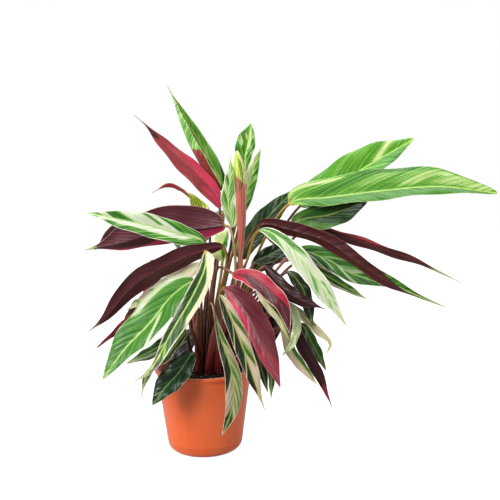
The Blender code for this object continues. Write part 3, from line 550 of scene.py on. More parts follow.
# Its dark tint and level are painted shade.
leaf("black_green", [(125, -42, 275), (145, -54, 255), (155, -62, 225), (160, -68, 200)], (10, 12),
     (0.3, -0.9, 0.3), "dark_leaf", [(110, -36, 260)], upper="#8a9460", white=(-0.6, -0.62), line=0.2,
     margin="#6a3a3c", contrast=0.6, petiole="#3c2a20")
leaf("maroon_diag", [(90, -62, 285), (110, -76, 265), (135, -86, 245), (175, -96, 230)], (13, 11),
     (0.2, 0.9, 0.3), "maroon_leaf", tip=0.75, under="#e0a8a4", white=(-0.3, -0.34), margin="#5a3038",
     line=0.2, lean=3.6)

# Hanging in front
leaf("pink_front", [(47, -78, 279), (70, -92, 277), (97, -108, 259), (115, -118, 238), (124, -126, 203)],
     (13, 17), (-0.4, 0.85, -0.2), "pink_leaf", widest=0.35, rise=0.3, under="#e07098",
     white=(-0.04, 0.7), margin="#f2c8c0",
     marks=[(-1, -1, 0.05, 0, 1, 0.75), (0, 0.55, 1.3, 0, 1, -0.05), (1, 0.1, 0.5, 0, 0.2, 0.3)],
     line=0.9, blunt=0.4, stalk=[(21, -58, 270), (27, -62, 286), (37, -71, 284)], lean=3.0)
leaf("magenta_front",
     [(35, -86, 260), (55, -104, 245), (75, -120, 215), (90, -134, 180), (110, -144, 135)], (12, 26),
     (-0.35, 0.9, -0.2), "pink_leaf", blunt=0.5, sheath=(4.5, 150), under="#e8c8d0", white=(0.28, 0.22),
     petiole="#a08048", margin="#c0506a",
     marks=[(-1, 0.0, 0.36, 0.35, 1, 0.78), (-1, 0.36, 1.2, 0.7, 1, 0.7), (0, -0.8, -0.15, 0, 1, 0.05),
            (1, 0.1, 0.6, 0.75, 1, 0.1), (0, 0.6, 1.2, 0, 1, 0.5)],
     lean=2.4)
# Its brownish tint darkens its green and cream as painted shade.
leaf("white_hang", [(29, -84, 249), (46, -98, 216), (62, -108, 175), (76, -114, 135), (90, -118, 95)],
     (13, 12), (0.2, -0.9, 0.3), "variegated_leaf", white=(0.9, -0.7), margin="#e8c4b4", line=0.8,
     tip=0.75, upper="#e8cec4",
     marks=[(1, -0.1, -0.06, 0, 1, 0.75), (1, 0.22, 0.26, 0, 1, 0.8), (1, 0.5, 0.55, 0, 1, 0.8),
            (-1, 0.1, 0.2, 0.2, 1, -0.2), (-1, 0.36, 0.48, 0.1, 0.8, 0.0), (0, 0.8, 1.3, 0, 1, 0.9)],
     sheath=(4.5, 110), stalk=[(27, -70, 228)], lean=3.0, contrast=1.3)
# Its brownish tint darkens its green and cream as painted shade.
leaf("pot_hang", [(15, -55, 233), (29, -78, 188), (45, -90, 137), (45, -94, 95), (30, -92, 50)], (13, 12),
     (0.2, -0.9, 0.1), "variegated_leaf", widest=0.64, blunt=1.5, white=(0.5, -0.65), margin="#e0bcae",
     line=1.1, upper="#dcc8bc",
     marks=[(-1, 0.0, 0.05, 0.05, 0.75, -0.1), (-1, 0.2, 0.27, 0.1, 0.8, 0.0),
            (-1, 0.46, 0.5, 0, 0.7, 0.1), (1, 0.5, 0.78, 0, 1, 0.85), (1, 0.2, 0.24, 0, 0.8, 0.5),
            (0, 0.78, 0.95, 0, 0.75, -0.5)],
     lean=3.0, contrast=1.8)
# Its dark tint and level are painted shade.
leaf("black_hang", [(65, -56, 205), (80, -76, 165), (95, -88, 110)], (10, 9), (0.2, -0.9, 0.2),
     "dark_leaf", upper="#8c8c74", white=(-0.7, -0.7), line=0.7)
leaf("green_tip", [(90, -52, 175), (100, -66, 135), (100, -70, 95)], (6, 6), (0.2, -0.9, 0.2),
     white=(-0.1, 0.1), upper="#d0d8b8")
leaf("cream_hook", [(80, -58, 250), (95, -72, 235), (115, -82, 210), (125, -88, 185)], (12, 8),
     (0.3, -0.9, 0.3), "variegated_leaf", [(65, -48, 235)], white=(-0.85, 0.95), petiole="#8a4340",
     upper="#f8ecd4", line=0.3, lean=3.0)
leaf("cream_low", [(120, -46, 230), (145, -56, 215), (165, -62, 195), (185, -66, 175), (180, -68, 160)],
     (6, 7), (0.2, -0.9, 0.3), "variegated_leaf", white=(0.95, 0.85), upper="#f4e2d6",
     marks=[(0, 0.2, 0.5, 0.3, 0.5, 0.1)], lean=2.6)
leaf("pale_pendent", [(125, -78, 235), (135, -88, 215), (130, -94, 185), (115, -96, 165)], (7, 6),
     (0.2, -0.9, 0.2), "variegated_leaf", white=(0.72, 0.72), upper="#eef4e0", lean=2.6)
leaf("maroon_pendent", [(130, -24, 195), (150, -38, 160), (170, -46, 125), (190, -52, 75)], (11, 9),
     (0.2, 0.95, 0.2), "maroon_leaf", widest=0.35, tip=0.75, under="#e8a8ac", white=(-0.4, -0.4),
     marks=[(0, 0.72, 1.3, 0, 1, 0.6)], margin="#8a4050", line=0.4)
leaf("green_sliver", [(145, -2, 190), (165, -10, 160), (185, -14, 120)], (9, 9), (0.2, -0.9, 0.3),
     white=(-0.1, -0.3), upper="#c4d0a8")
leaf("pink_pendent", [(115, -60, 195), (130, -74, 165), (145, -80, 145), (165, -84, 120)], (7, 10),
     (0.2, -0.9, 0.3), "pink_leaf", white=(-0.1, 0.9), upper="#f8e0d0", margin="#e8c0b8")
leaf("yellow_centre", [(31, -20, 288), (29, -21, 304), (33, -21, 320), (40, -20, 335)], (15, 9),
     (-0.2, -0.9, 0.2), upper="#f4fac8", white=(0.75, 0.0),
     marks=[(1, 0.2, 0.26, 0.1, 0.9, 0.05)], widest=0.5, petiole="#a08838")
leaf("dark_centre", [(78, -2, 283), (103, -4, 297), (138, -8, 318)], (12, 12), (0.1, -0.9, 0.3),
     "dark_leaf", upper="#848c74", white=(-0.5, -0.4), line=0.4, contrast=0.8)
# Its near black tint and level are painted shade: it lies in the shadow behind the pot's left rim.
leaf("black_low", [(-12, 22, 166), (-42, 26, 150), (-80, 26, 136)], (20, 22), (-0.2, -0.9, 0.4),
     "dark_leaf", upper="#687060", white=(-0.8, -0.8), line=0.2)

# At the back, which the front view hides
leaf("back_left", [(-38, 70, 292), (-112, 112, 340), (-195, 150, 290)], (24, 27), (0, 0.4, 0.9),
     sheath=(5, 100), petiole="#8a4340", white=(0.0, 0.1),
     marks=[(1, 0.1, 0.24, 0, 1, 0.9), (-1, 0.4, 0.46, 0, 1, 0.9), (1, 0.55, 0.7, 0.2, 1, 0.85)])
leaf("back_left_mid", [(-35, 85, 250), (-75, 150, 262), (-125, 225, 200)], (24, 22), (0, 0.5, 0.9),
     white=(0.85, 0.0), marks=[(-1, 0.2, 0.28, 0, 0.8, 0.0), (-1, 0.6, 0.66, 0.1, 1, 0.0),
                               (1, 0.35, 0.4, 0, 1, 0.85)])
leaf("back_high", [(0, 70, 310), (4, 130, 350), (8, 215, 320)], (27, 24), (0, 0.3, 0.95), white=(0.05, 0.05),
     marks=[(-1, 0.15, 0.22, 0.1, 1, 0.9), (1, 0.3, 0.48, 0, 1, 0.9), (-1, 0.62, 0.68, 0, 0.8, 0.85)])
leaf("back_right", [(45, 70, 290), (90, 120, 325), (150, 190, 270)], (24, 26), (0, 0.4, 0.9),
     white=(0.0, 0.0), marks=[(-1, 0.28, 0.5, 0.1, 1, 0.9), (1, 0.1, 0.15, 0, 1, 0.85),
                              (1, 0.64, 0.72, 0, 1, 0.8)])
leaf("back_right_mid", [(75, 60, 250), (145, 95, 275), (230, 135, 220)], (22, 25), (0, 0.4, 0.9),
     white=(0.05, 0.85), marks=[(1, 0.4, 0.5, 0, 1, 0.0), (1, -0.3, 0.05, 0.2, 1, 0.05),
                                (-1, 0.5, 0.56, 0, 1, 0.85)])
leaf("back_left_low", [(-50, 55, 195), (-95, 95, 205), (-150, 145, 135)], (22, 20), (0, 0.5, 0.9),
     white=(-0.1, 0.0), marks=[(1, 0.2, 0.3, 0, 1, 0.9), (-1, 0.5, 0.6, 0.1, 0.9, 0.8)])
leaf("back_low", [(22, 75, 210), (50, 125, 215), (80, 190, 140)], (23, 21), (0, 0.5, 0.9),
     white=(-0.1, -0.05), marks=[(-1, 0.1, 0.28, 0, 1, 0.9), (1, 0.45, 0.5, 0, 1, 0.85)])
leaf("back_right_low", [(60, 60, 190), (105, 90, 200), (155, 132, 120)], (20, 22), (0, 0.5, 0.9),
     white=(0.0, -0.1), marks=[(1, 0.25, 0.4, 0, 1, 0.9), (-1, 0.6, 0.66, 0, 1, 0.85)])
leaf("back_low_left", [(-26, 70, 205), (-38, 118, 212), (-55, 180, 130)], (22, 24), (0, 0.5, 0.9),
     white=(0.0, 0.8), marks=[(1, 0.3, 0.4, 0, 0.9, 0.0), (-1, 0.35, 0.42, 0, 1, 0.9)])

# In the shade behind the stalks. Their dark tints, levels and margins are painted shade.
leaf("shade_left", [(-3, 66, 198), (-8, 84, 188), (-8, 96, 162), (-8, 98, 118)], (24, 24),
     (0, 0.95, 0.2), "maroon_leaf", blunt=0.35, under="#a07078", white=(-0.6, -0.6), margin="#4a2028")
leaf("shade_middle", [(46, 66, 200), (45, 84, 190), (46, 95, 160), (47, 96, 116)], (24, 24),
     (0, 0.95, 0.2), "maroon_leaf", blunt=0.35, under="#a07078", white=(-0.6, -0.6), margin="#4a2028")
leaf("shade_right", [(98, 24, 222), (103, 40, 218), (108, 49, 198), (110, 51, 150)], (20, 20),
     (0, 0.95, 0.2), "dark_leaf", under="#907078", white=(-0.6, -0.6), margin="#4a2028")
leaf("shade_high", [(76, 52, 262), (103, 60, 285), (144, 72, 300)], (17, 17), (0, -0.9, 0.4), "dark_leaf",
     upper="#8a9484", white=(-0.5, -0.5), rise=0.14)

# The youngest leaf, still rolled up
leaf("rolled", [(58, -38, 300), (60, -41, 340), (60, -42, 385), (58, -40, 420), (55, -34, 450)], (12, 12),
     (-0.5, -0.85, 0), "maroon_leaf", [(57, -38, 268)], wave=0.0, sheath=(4.4, 300), roll=(8.4, 0.7),
     under="#d4706c", upper="#f6f47c", white=(1.0, 1.0), petiole="#d07c68", contrast=3.0,
     margin="#f0e8c8", line=0.9, marks=[(0, 0.58, 2, 0, 1, 0.48)])


# Feet of the stalks. Each stalk leaves the soil where its line from the crown, buried in the
# middle of the pot, comes up; neighbours are pushed apart until each has soil all round it.
STALK_RADIUS = 2.0
CROWN = np.array([10.0, 20.0, 88.0])
ROOT_AREA = np.array([27.0, 36.0])
ROOT_GAP = 2.3
ROOT_PASSES = 500
ROOT_PUSH = 0.35
FAR_APART = 99.0


def spread_roots():
    """Put each foot on the line from the crown to its stalk's first point, then push them apart in passes.

    In each pass a pair nearer than both radii and the gap moves apart by a share of what it lacks, and a
    foot outside the oval area comes back to its edge.
    """
    first = np.array([(plan["stalk"] + plan["blade"])[0] for plan in LEAVES], float)
    share = (SOIL_HEIGHT - CROWN[2]) / (first[:, 2] - CROWN[2])
    places = (first[:, :2] - CROWN[:2]) * share[:, None]
    size = np.array([plan["sheath"][0] if plan["sheath"] else STALK_RADIUS for plan in LEAVES])
    need = size[:, None] + size[None] + ROOT_GAP
    for _ in range(ROOT_PASSES):
        far = np.linalg.norm(places / ROOT_AREA, axis=1)
        places = places / np.maximum(far, 1)[:, None]
        apart = places[:, None] - places[None]
        distance = np.linalg.norm(apart, axis=2) + np.eye(len(places)) * FAR_APART
        push = np.clip(need - distance, 0, None)
        places = places + ROOT_PUSH * (apart / distance[..., None] * push[..., None]).sum(1)
    return places + CROWN[:2]


# Form of a leaf. A round stalk comes straight out of its hole, bends outwards, and flattens into a
# thin blade with a raised midrib, two halves that slope and curl, and waved edges. All of it is
# one closed surface. The youngest blade is still rolled round itself into a spindle.
STALK_SET_IN = 12.0
STRAIGHT_FOOT = 14.0
LIFT_AT = 0.42
PATH_STEPS = 40
STALK_RING_STEP = 9.0
RING_STEP = 3.0
BLADE_START = 0.02
TIP_START = 0.7
FACE_AT = 0.45
STRIPS = 24
SECTION_STEPS = 60
BLADE_THICKNESS = 0.9
EDGE_THINNING = 0.45
MIDRIB_EXTRA = 0.8
MIDRIB_WIDTH = 1.3
WAVES_IN_BLADE = 3.5
RIGHT_WAVE_SHIFT = 1.9
ROLL_TIP_RADIUS = 1.2
ROLL_LAPS = 1.4
LAP_STEP = 0.16
LAP_START = 0.125
VEIN_BEND = 0.028
TURNED_SPREAD = 0.3


def smooth_path(points):
    """Run a centripetal Catmull-Rom curve through points: its places, lengths, and lengths at the points."""
    points = np.asarray(points, float)
    points = np.vstack([2 * points[0] - points[1], points, 2 * points[-1] - points[-2]])
    spans = np.linalg.norm(np.diff(points, axis=0), axis=1)
    knots = np.concatenate([[0], np.cumsum(np.sqrt(spans))])
    pieces = []
    for i in range(1, len(points) - 2):
        k = knots[i - 1:i + 3]
        p = points[i - 1:i + 3]
        t = np.linspace(k[1], k[2], PATH_STEPS, endpoint=False)[:, None]
        a = [((k[j + 1] - t) * p[j] + (t - k[j]) * p[j + 1]) / (k[j + 1] - k[j]) for j in range(3)]
        b = [((k[j + 2] - t) * a[j] + (t - k[j]) * a[j + 1]) / (k[j + 2] - k[j]) for j in range(2)]
        pieces.append(((k[2] - t) * b[0] + (t - k[1]) * b[1]) / (k[2] - k[1]))
    pieces.append(points[-2][None])
    places = np.vstack(pieces)
    lengths = np.concatenate([[0], np.cumsum(np.linalg.norm(np.diff(places, axis=0), axis=1))])
    return places, lengths, lengths[::PATH_STEPS]


def directions(places, face, middle):
    """Along, across and upper directions, with the upper one carried from the middle both ways."""
    along = np.gradient(places, axis=0)
    along /= np.linalg.norm(along, axis=1)[:, None]
    upper = np.zeros_like(along)
    for order in (range(middle, len(along)), range(middle, -1, -1)):
        carried = np.array(face, float)
        for i in order:
            carried = carried - along[i] * (carried @ along[i])
            carried /= np.linalg.norm(carried)
            upper[i] = carried
    return along, np.cross(along, upper), upper


def ease(x):
    """Smooth step from 0 to 1 over the same range of x: 3x^2 - 2x^3."""
    x = np.clip(x, 0, 1)
    return x * x * (3 - 2 * x)


def width_share(t, plan):
    """Share of the greatest width at t along the blade: t^a (1-t)^b, peaking at widest, then a thin tip."""
    widest, blunt = plan["widest"], plan["blunt"]
    sharp = blunt * (1 - widest) / widest
    peak = widest ** blunt * (1 - widest) ** sharp
    thin = 1 - plan["tip"] * ease((t - TIP_START) / (1 - TIP_START))
    return t ** blunt * (1 - t) ** sharp / peak * thin


def half_section(u, fold, arch):
    """Way out and up at u, from midrib 0 to edge 1, of a half whose slope is fold + arch u^2 degrees."""
    steps = np.linspace(0, 1, SECTION_STEPS + 1)
    slope = np.radians(fold + arch * steps ** 2)
    out = np.concatenate([[0], np.cumsum((np.cos(slope)[1:] + np.cos(slope)[:-1]) / (2 * SECTION_STEPS))])
    up = np.concatenate([[0], np.cumsum((np.sin(slope)[1:] + np.sin(slope)[:-1]) / (2 * SECTION_STEPS))])
    return np.interp(u, steps, out), np.interp(u, steps, up)


def stalk_radii(plan, at, t):
    """Radius of the round part at each ring.

    A sheath thins by a quarter up to its height, and runs into the stalk over the last fifth of that.
    A rolled blade swells as a sine up to its widest place, then narrows with the cube of the way to its tip.
    """
    radius = np.full(len(at), STALK_RADIUS)
    if plan["sheath"]:
        wide, high = plan["sheath"]
        fade = 1 - ease((at - 0.8 * high) / (0.2 * high))
        radius = STALK_RADIUS + (wide - STALK_RADIUS) * fade * (1 - 0.25 * np.clip(at / high, 0, 1))
    if plan["roll"]:
        most, peak = plan["roll"]
        swell = (most - radius) * np.sin(math.pi / 2 * np.clip(t / peak, 0, 1)) ** 1.2
        narrow = (most - ROLL_TIP_RADIUS) * (np.clip(t - peak, 0, 1) / (1 - peak)) ** 3
        radius = radius + swell - narrow
    return radius


def leaf_path(plan, root):
    """Ring places from foot to tip: straight up out of the soil, a lift outwards, then the blade's curve.

    Rings are wide apart on the stalk and closer on the blade, and closest at both ends of the blade.
    """
    foot = np.array([root[0], root[1], SOIL_HEIGHT - STALK_SET_IN])
    first = np.array((plan["stalk"] + plan["blade"])[0], float)
    lift = foot + (first - foot) * [plan["rise"], plan["rise"], LIFT_AT]
    points = [foot, foot + [0, 0, STRAIGHT_FOOT], lift] + plan["stalk"] + plan["blade"]
    places, lengths, marks = smooth_path(points)
    neck = marks[3 + len(plan["stalk"])]
    total = lengths[-1]
    stalk_rings = max(8, int(neck / STALK_RING_STEP))
    stalk = np.concatenate([[0], np.linspace(STRAIGHT_FOOT, neck, stalk_rings)[:-1]])
    blade_rings = int((total - neck) / RING_STEP)
    start, end = [0, 0.004, 0.01, 0.02, 0.035], [0.98, 0.99, 0.997]
    blade = np.concatenate([start, np.linspace(0.05, 0.965, blade_rings), end])
    at = np.concatenate([stalk, neck + (total - neck) * blade])
    centre = np.stack([np.interp(at, lengths, places[:, k]) for k in range(3)], 1)
    return centre, at, neck, total


def leaf_surface(plan, root):
    """Upper and lower points of a leaf as two grids, rings by columns, and what its finish follows.

    Across the blade each half leaves the midrib at its fold and bends by its arch, and the edge
    waves as a sine along the blade, stronger outwards. The thickness lies along the section's
    normal, with a ridge of Gaussian section under and over the midrib. A rolled blade is round, and
    its radius drops by a step along a line that winds up it, where its free edge lies.
    A side vein is where the length along the blade, less the lean and bend of its way out, is constant.
    """
    centre, at, neck, total = leaf_path(plan, root)
    t = np.clip((at - neck) / (total - neck), 0, 1)
    middle = int(np.argmin(abs(t - FACE_AT)))
    along, across, upper = directions(centre, plan["face"], middle)
    turn = np.radians(plan["twist"]) * (t - FACE_AT)[:, None]
    across, upper = (across * np.cos(turn) + upper * np.sin(turn),
                     upper * np.cos(turn) - across * np.sin(turn))

    u = np.linspace(-1, 1, STRIPS + 1)[None]
    share = width_share(np.clip(t, 1e-6, 1 - 1e-6), plan)[:, None]
    left, right = (half_section(abs(u), plan["fold"][k], plan["arch"][k]) for k in (0, 1))
    half = np.where(u < 0, plan["halves"][0], plan["halves"][1]) * share
    side = np.where(u < 0, -left[0], right[0]) * half
    height = np.where(u < 0, left[1], right[1]) * half
    outward = abs(u) * half
    swing = 2 * math.pi * WAVES_IN_BLADE * t[:, None] + plan["phase"] + RIGHT_WAVE_SHIFT * (u >= 0)
    height = height + plan["wave"] * np.sqrt(np.sin(math.pi * t))[:, None] * u ** 2 * np.sin(swing)
    run, lift = np.gradient(side, axis=1), np.gradient(height, axis=1)
    out, up = -lift / np.hypot(run, lift), run / np.hypot(run, lift)
    thick = BLADE_THICKNESS / 2 * (1 - EDGE_THINNING * u ** 6)
    thick = thick + MIDRIB_EXTRA * (1 - t[:, None]) * np.exp(-(outward / MIDRIB_WIDTH) ** 2)

    around = math.pi * (1 - (np.arange(STRIPS + 1) + 0.5) / (STRIPS + 1))[None]
    radius = stalk_radii(plan, at, t)[:, None]
    flat = np.zeros((len(t), 1)) if plan["roll"] else np.clip(t / BLADE_START, 0, 1)[:, None]
    grids = []
    for sign in (1, -1):
        lap = 1.0
        if plan["roll"]:
            winding = (sign * around / (2 * math.pi) - ROLL_LAPS * t[:, None]) % 1.0
            lap = 1 + LAP_STEP * (winding - 0.5) * ease(t / LAP_START)[:, None]
        sideways = lap * radius * np.cos(around) * (1 - flat) + (side + sign * thick * out) * flat
        rise = sign * lap * radius * np.sin(around) * (1 - flat) + (height + sign * thick * up) * flat
        grids.append(centre[:, None] + sideways[..., None] * across[:, None]
                     + rise[..., None] * upper[:, None])
    slant = np.where(u * plan["turned"][0] > 0, TURNED_SPREAD, 1)
    vein = (at - neck)[:, None] - slant * (plan["lean"] * outward + VEIN_BEND * outward ** 2)
    facts = dict(t=t[:, None] + 0 * u, u=u + 0 * half, outward=outward, vein=vein, long=total - neck,
                 edge=(1 - abs(u)) * half, at=at[:, None] + 0 * u, around=around * radius + 0 * half)
    return grids, facts


def closed_faces(rings, columns):
    """Quads of a closed strip: the upper side, the lower side, then both edges and both ends."""
    index = np.arange(rings * columns).reshape(rings, columns)
    lower = rings * columns
    a, b, c, d = index[:-1, :-1], index[:-1, 1:], index[1:, 1:], index[1:, :-1]
    top = np.stack([a, b, c, d], 2).reshape(-1, 4)
    bottom = top[:, ::-1] + lower
    borders = [index[:, 0], index[::-1, -1], index[0, ::-1], index[-1]]
    rims = [np.stack([line[:-1], line[1:], line[1:] + lower, line[:-1] + lower], 1) for line in borders]
    return top, bottom, np.concatenate(rims)


def facing_out(places, faces):
    """True when the faces turn outwards: the sum of their signed cone volumes is positive."""
    a, b, c, d = (places[faces[:, k]] for k in range(4))
    return (np.einsum("ij,ij->i", a, np.cross(b, c)) + np.einsum("ij,ij->i", a, np.cross(c, d))).sum() > 0


# Pattern of a leaf. Colours change along the side veins in streaks and wedges and from half to half,
# the edge and the tip are pale, and each stalk is striped along it and red or brown at its foot; a stalk
# without a sheath is darker there, partly its own colour and partly painted shade.
STREAK_STEP = 6.5
STREAK_LENGTH = 50.0
STALK_STRIPE = 1.2
STALK_STREAK_LENGTH = 60.0
STREAK_SEED_STEP = 1.37
HALF_SEED_STEP = 3.0
WEDGE_SOFT_ALONG = 0.03
WEDGE_SOFT_ACROSS = 0.14


def paint(mesh, name, kind, values):
    """Store values at the points of a mesh under a name, for its finish to read."""
    field = {"FLOAT": "value", "FLOAT_VECTOR": "vector", "FLOAT_COLOR": "color"}[kind]
    layer = mesh.attributes.new(name, kind, "POINT")
    layer.data.foreach_set(field, np.ascontiguousarray(values, dtype=np.float32).ravel())


def streak_places(facts, seed, rolled):
    """Places for the streaks: across and along the side veins, or around and up on a stalk or a roll."""
    on_stalk = (facts["t"] <= 0) | rolled
    first = np.where(on_stalk, facts["around"] / STALK_STRIPE, facts["vein"] / STREAK_STEP)
    second = np.where(on_stalk, facts["at"] / STALK_STREAK_LENGTH, facts["outward"] / STREAK_LENGTH)
    third = seed + HALF_SEED_STEP * (facts["u"] >= 0)
    return np.stack([first, second, third], 2)


def whiteness(plan, facts):
    """How much green each point lacks: its half's share, then every wedge in turn laid over it.

    A wedge counts fully between its two veins and its two lines along, and fades over its soft borders.
    """
    white = np.where(facts["u"] < 0, plan["white"][0], plan["white"][1])
    vein = facts["vein"] / facts["long"]
    across = abs(facts["u"])
    for half, start, stop, inner, outer, level in plan["marks"]:
        along = ease((vein - start) / WEDGE_SOFT_ALONG + 0.5) * ease((stop - vein) / WEDGE_SOFT_ALONG + 0.5)
        from_inner = ease((across - inner) / WEDGE_SOFT_ACROSS + 0.5 + (inner <= 0))
        to_outer = ease((outer - across) / WEDGE_SOFT_ACROSS + 0.5 + (outer >= 1))
        inside = along * from_inner * to_outer * ((facts["u"] * half > 0) | (half == 0))
        white = white + (level - white) * inside
    return white


# Finishes of the leaves. Both sides are living tissue under a thin waxy skin. The real fine veins
# are about 1.3 mm apart, too fine to show, and are drawn 4.4 mm apart as faint lines and ridges.
VEIN_STEP = 4.4
PLEAT_STEP = 17.0
VEIN_WANDER = 9.0
WANDER_STREAKS = 2.0
CREAM_STREAKING = 0.25
RIB_FULL, RIB_GONE = 0.5, 2.1
MARGIN_FULL, MARGIN_GONE, MARGIN_SHARE = 0.4, 1.2, 0.85
PALE_END_COLOUR = "#b9bf86"
STALK_TAN = "#c8a070"
SWELL_SIZE = 22.2


def leaf_finish(name, ramp, levels, streaking, rib, roughness, line, relief):
    """Finish of one side of a leaf, from the fields that each piece carries.

    Its colour is the ramp's at a score: the share of cream, scaled to levels, plus streaks, which are
    weaker in cream. Fine veins darken that by line. The midrib, the tint, which also lays painted shade on
    leaves in shadow, the margin, the pale end and the striped stalk then follow in this order, and relief is
    how strongly veins and pleats stand out.
    """
    finish, tree = fresh_material(name)
    keys = ("streak", "white", "rib", "edge", "end", "stalk", "contrast", "tint_and_shade", "petiole", "margin")
    field = {key: node(tree, "ShaderNodeAttribute", {"attribute_name": key}) for key in keys}
    streak = field["streak"].outputs["Vector"]

    # Streaks and wedges
    brush = node(tree, "ShaderNodeTexNoise", {"Scale": 1.0, "Detail": 5.0, "Roughness": 0.7}, Vector=streak)
    level = node(tree, "ShaderNodeMapRange", {"From_Min": -1.0, "To_Min": levels[0], "To_Max": levels[1],
                                              "clamp": False}, Value=field["white"].outputs["Fac"])
    gain = node(tree, "ShaderNodeMapRange", {"From_Min": 0.45, "To_Min": streaking,
                                             "To_Max": CREAM_STREAKING * streaking},
                Value=field["white"].outputs["Fac"])
    stray = node(tree, "ShaderNodeMapRange", {"To_Min": -1.0, "clamp": False}, Value=brush.outputs["Fac"])
    gained = node(tree, "ShaderNodeMath", {"operation": "MULTIPLY"}, _0=stray.outputs[0], _1=gain.outputs[0])
    score = node(tree, "ShaderNodeMath", {"operation": "MULTIPLY_ADD"}, _0=gained.outputs[0],
                 _1=field["contrast"].outputs["Fac"], _2=level.outputs[0])
    colour = node(tree, "ShaderNodeValToRGB", Fac=score.outputs[0])
    while len(colour.color_ramp.elements) < len(ramp):
        colour.color_ramp.elements.new(0.5)
    for stop, (place, code) in zip(colour.color_ramp.elements, ramp):
        stop.position = place
        stop.color = (*linear(code), 1)

    # Fine veins and pleats, as sines along the blade that wander a little
    parts = node(tree, "ShaderNodeSeparateXYZ", Vector=streak)
    wander = node(tree, "ShaderNodeTexNoise", {"Scale": 1 / WANDER_STREAKS, "Detail": 2.0}, Vector=streak)
    shift = node(tree, "ShaderNodeMath", {"operation": "MULTIPLY", "_1": VEIN_WANDER},
                 _0=wander.outputs["Fac"])
    waves = []
    for step in (VEIN_STEP, PLEAT_STEP):
        turns = 2 * math.pi * STREAK_STEP / step
        phase = node(tree, "ShaderNodeMath", {"operation": "MULTIPLY_ADD", "_1": turns},
                     _0=parts.outputs[0], _2=shift.outputs[0])
        waves.append(node(tree, "ShaderNodeMath", {"operation": "SINE"}, _0=phase.outputs[0]))
    faded = node(tree, "ShaderNodeMath", {"operation": "MULTIPLY"}, _0=waves[0].outputs[0],
                 _1=brush.outputs["Fac"])
    shade = node(tree, "ShaderNodeMapRange", {"From_Min": -0.6, "From_Max": 0.6, "To_Min": 1 - line},
                 Value=faded.outputs[0])
    veined = node(tree, "ShaderNodeMix", {"data_type": "RGBA", "blend_type": "MULTIPLY", "_0": 1.0},
                  _6=colour.outputs[0], _7=shade.outputs[0])

    # Midrib, tint with its painted shade, margin and pale end
    on_rib = node(tree, "ShaderNodeMapRange", {"From_Min": RIB_FULL, "From_Max": RIB_GONE, "To_Min": rib[1],
                                               "To_Max": 0.0}, Value=field["rib"].outputs["Fac"])
    ribbed = node(tree, "ShaderNodeMix", {"data_type": "RGBA", "_7": (*linear(rib[0]), 1)},
                  _0=on_rib.outputs[0], _6=veined.outputs[2])
    tinted_and_shaded = node(tree, "ShaderNodeMix", {"data_type": "RGBA", "blend_type": "MULTIPLY", "_0": 1.0},
                  _6=ribbed.outputs[2], _7=field["tint_and_shade"].outputs["Color"])
    on_edge = node(tree, "ShaderNodeMapRange", {"From_Min": MARGIN_FULL, "From_Max": MARGIN_GONE,
                                                "To_Min": MARGIN_SHARE, "To_Max": 0.0},
                   Value=field["edge"].outputs["Fac"])
    edged = node(tree, "ShaderNodeMix", {"data_type": "RGBA"}, _0=on_edge.outputs[0], _6=tinted_and_shaded.outputs[2],
                 _7=field["margin"].outputs["Color"])
    ended = node(tree, "ShaderNodeMix", {"data_type": "RGBA", "_7": (*linear(PALE_END_COLOUR), 1)},
                 _0=field["end"].outputs["Fac"], _6=edged.outputs[2])

    # Striped stalk
    stripe = node(tree, "ShaderNodeMapRange", {"From_Min": 0.3, "From_Max": 0.7, "To_Min": 0.4,
                                               "To_Max": 1.2}, Value=brush.outputs["Fac"])
    striped = node(tree, "ShaderNodeMix", {"data_type": "RGBA", "blend_type": "MULTIPLY", "_0": 1.0},
                   _6=field["petiole"].outputs["Color"], _7=stripe.outputs[0])
    tan = node(tree, "ShaderNodeMapRange", {"From_Min": 0.52, "From_Max": 0.7, "To_Max": 0.4},
               Value=brush.outputs["Fac"])
    ribboned = node(tree, "ShaderNodeMix", {"data_type": "RGBA", "_7": (*linear(STALK_TAN), 1)},
                    _0=tan.outputs[0], _6=striped.outputs[2])
    whole = node(tree, "ShaderNodeMix", {"data_type": "RGBA"}, _0=field["stalk"].outputs["Fac"],
                 _6=ended.outputs[2], _7=ribboned.outputs[2])

    # Relief, from the finest to the coarsest
    fine = node(tree, "ShaderNodeBump", {"Strength": relief[0], "Distance": 0.0002},
                Height=waves[0].outputs[0])
    pleats = node(tree, "ShaderNodeBump", {"Strength": relief[1], "Distance": 0.0008},
                  Height=waves[1].outputs[0], Normal=fine.outputs[0])
    place = node(tree, "ShaderNodeTexCoord").outputs["Object"]
    soft = node(tree, "ShaderNodeTexNoise", {"Scale": 1 / (SWELL_SIZE * MM), "Detail": 2.0}, Vector=place)
    swells = node(tree, "ShaderNodeBump", {"Strength": 0.4, "Distance": 0.004}, Height=soft.outputs["Fac"],
                  Normal=pleats.outputs[0])
    shader = node(tree, "ShaderNodeBsdfPrincipled", {"Roughness": roughness, "IOR": 1.42},
                  Base_Color=whole.outputs[2], Normal=swells.outputs[0])
    node(tree, "ShaderNodeOutputMaterial", Surface=shader.outputs[0])
    return finish


# Waxy upper side: a soft gloss over green tissue, dark to bright along the side veins, and cream
# where the tissue has no green. Its midrib is a pale green line.
leaf_upper = leaf_finish("waxy_leaf_upper",
                         [(0.0, "#0c1c0a"), (0.18, "#1c4415"), (0.40, "#3f8227"), (0.54, "#6cab3f"),
                          (0.63, "#a8cf80"), (0.72, "#e6ecc9"), (0.95, "#f7f4e8")],
                         levels=(-0.02, 0.86), streaking=0.6, rib=("#cce88c", 0.85), roughness=0.32,
                         line=0.15, relief=(0.25, 0.38))

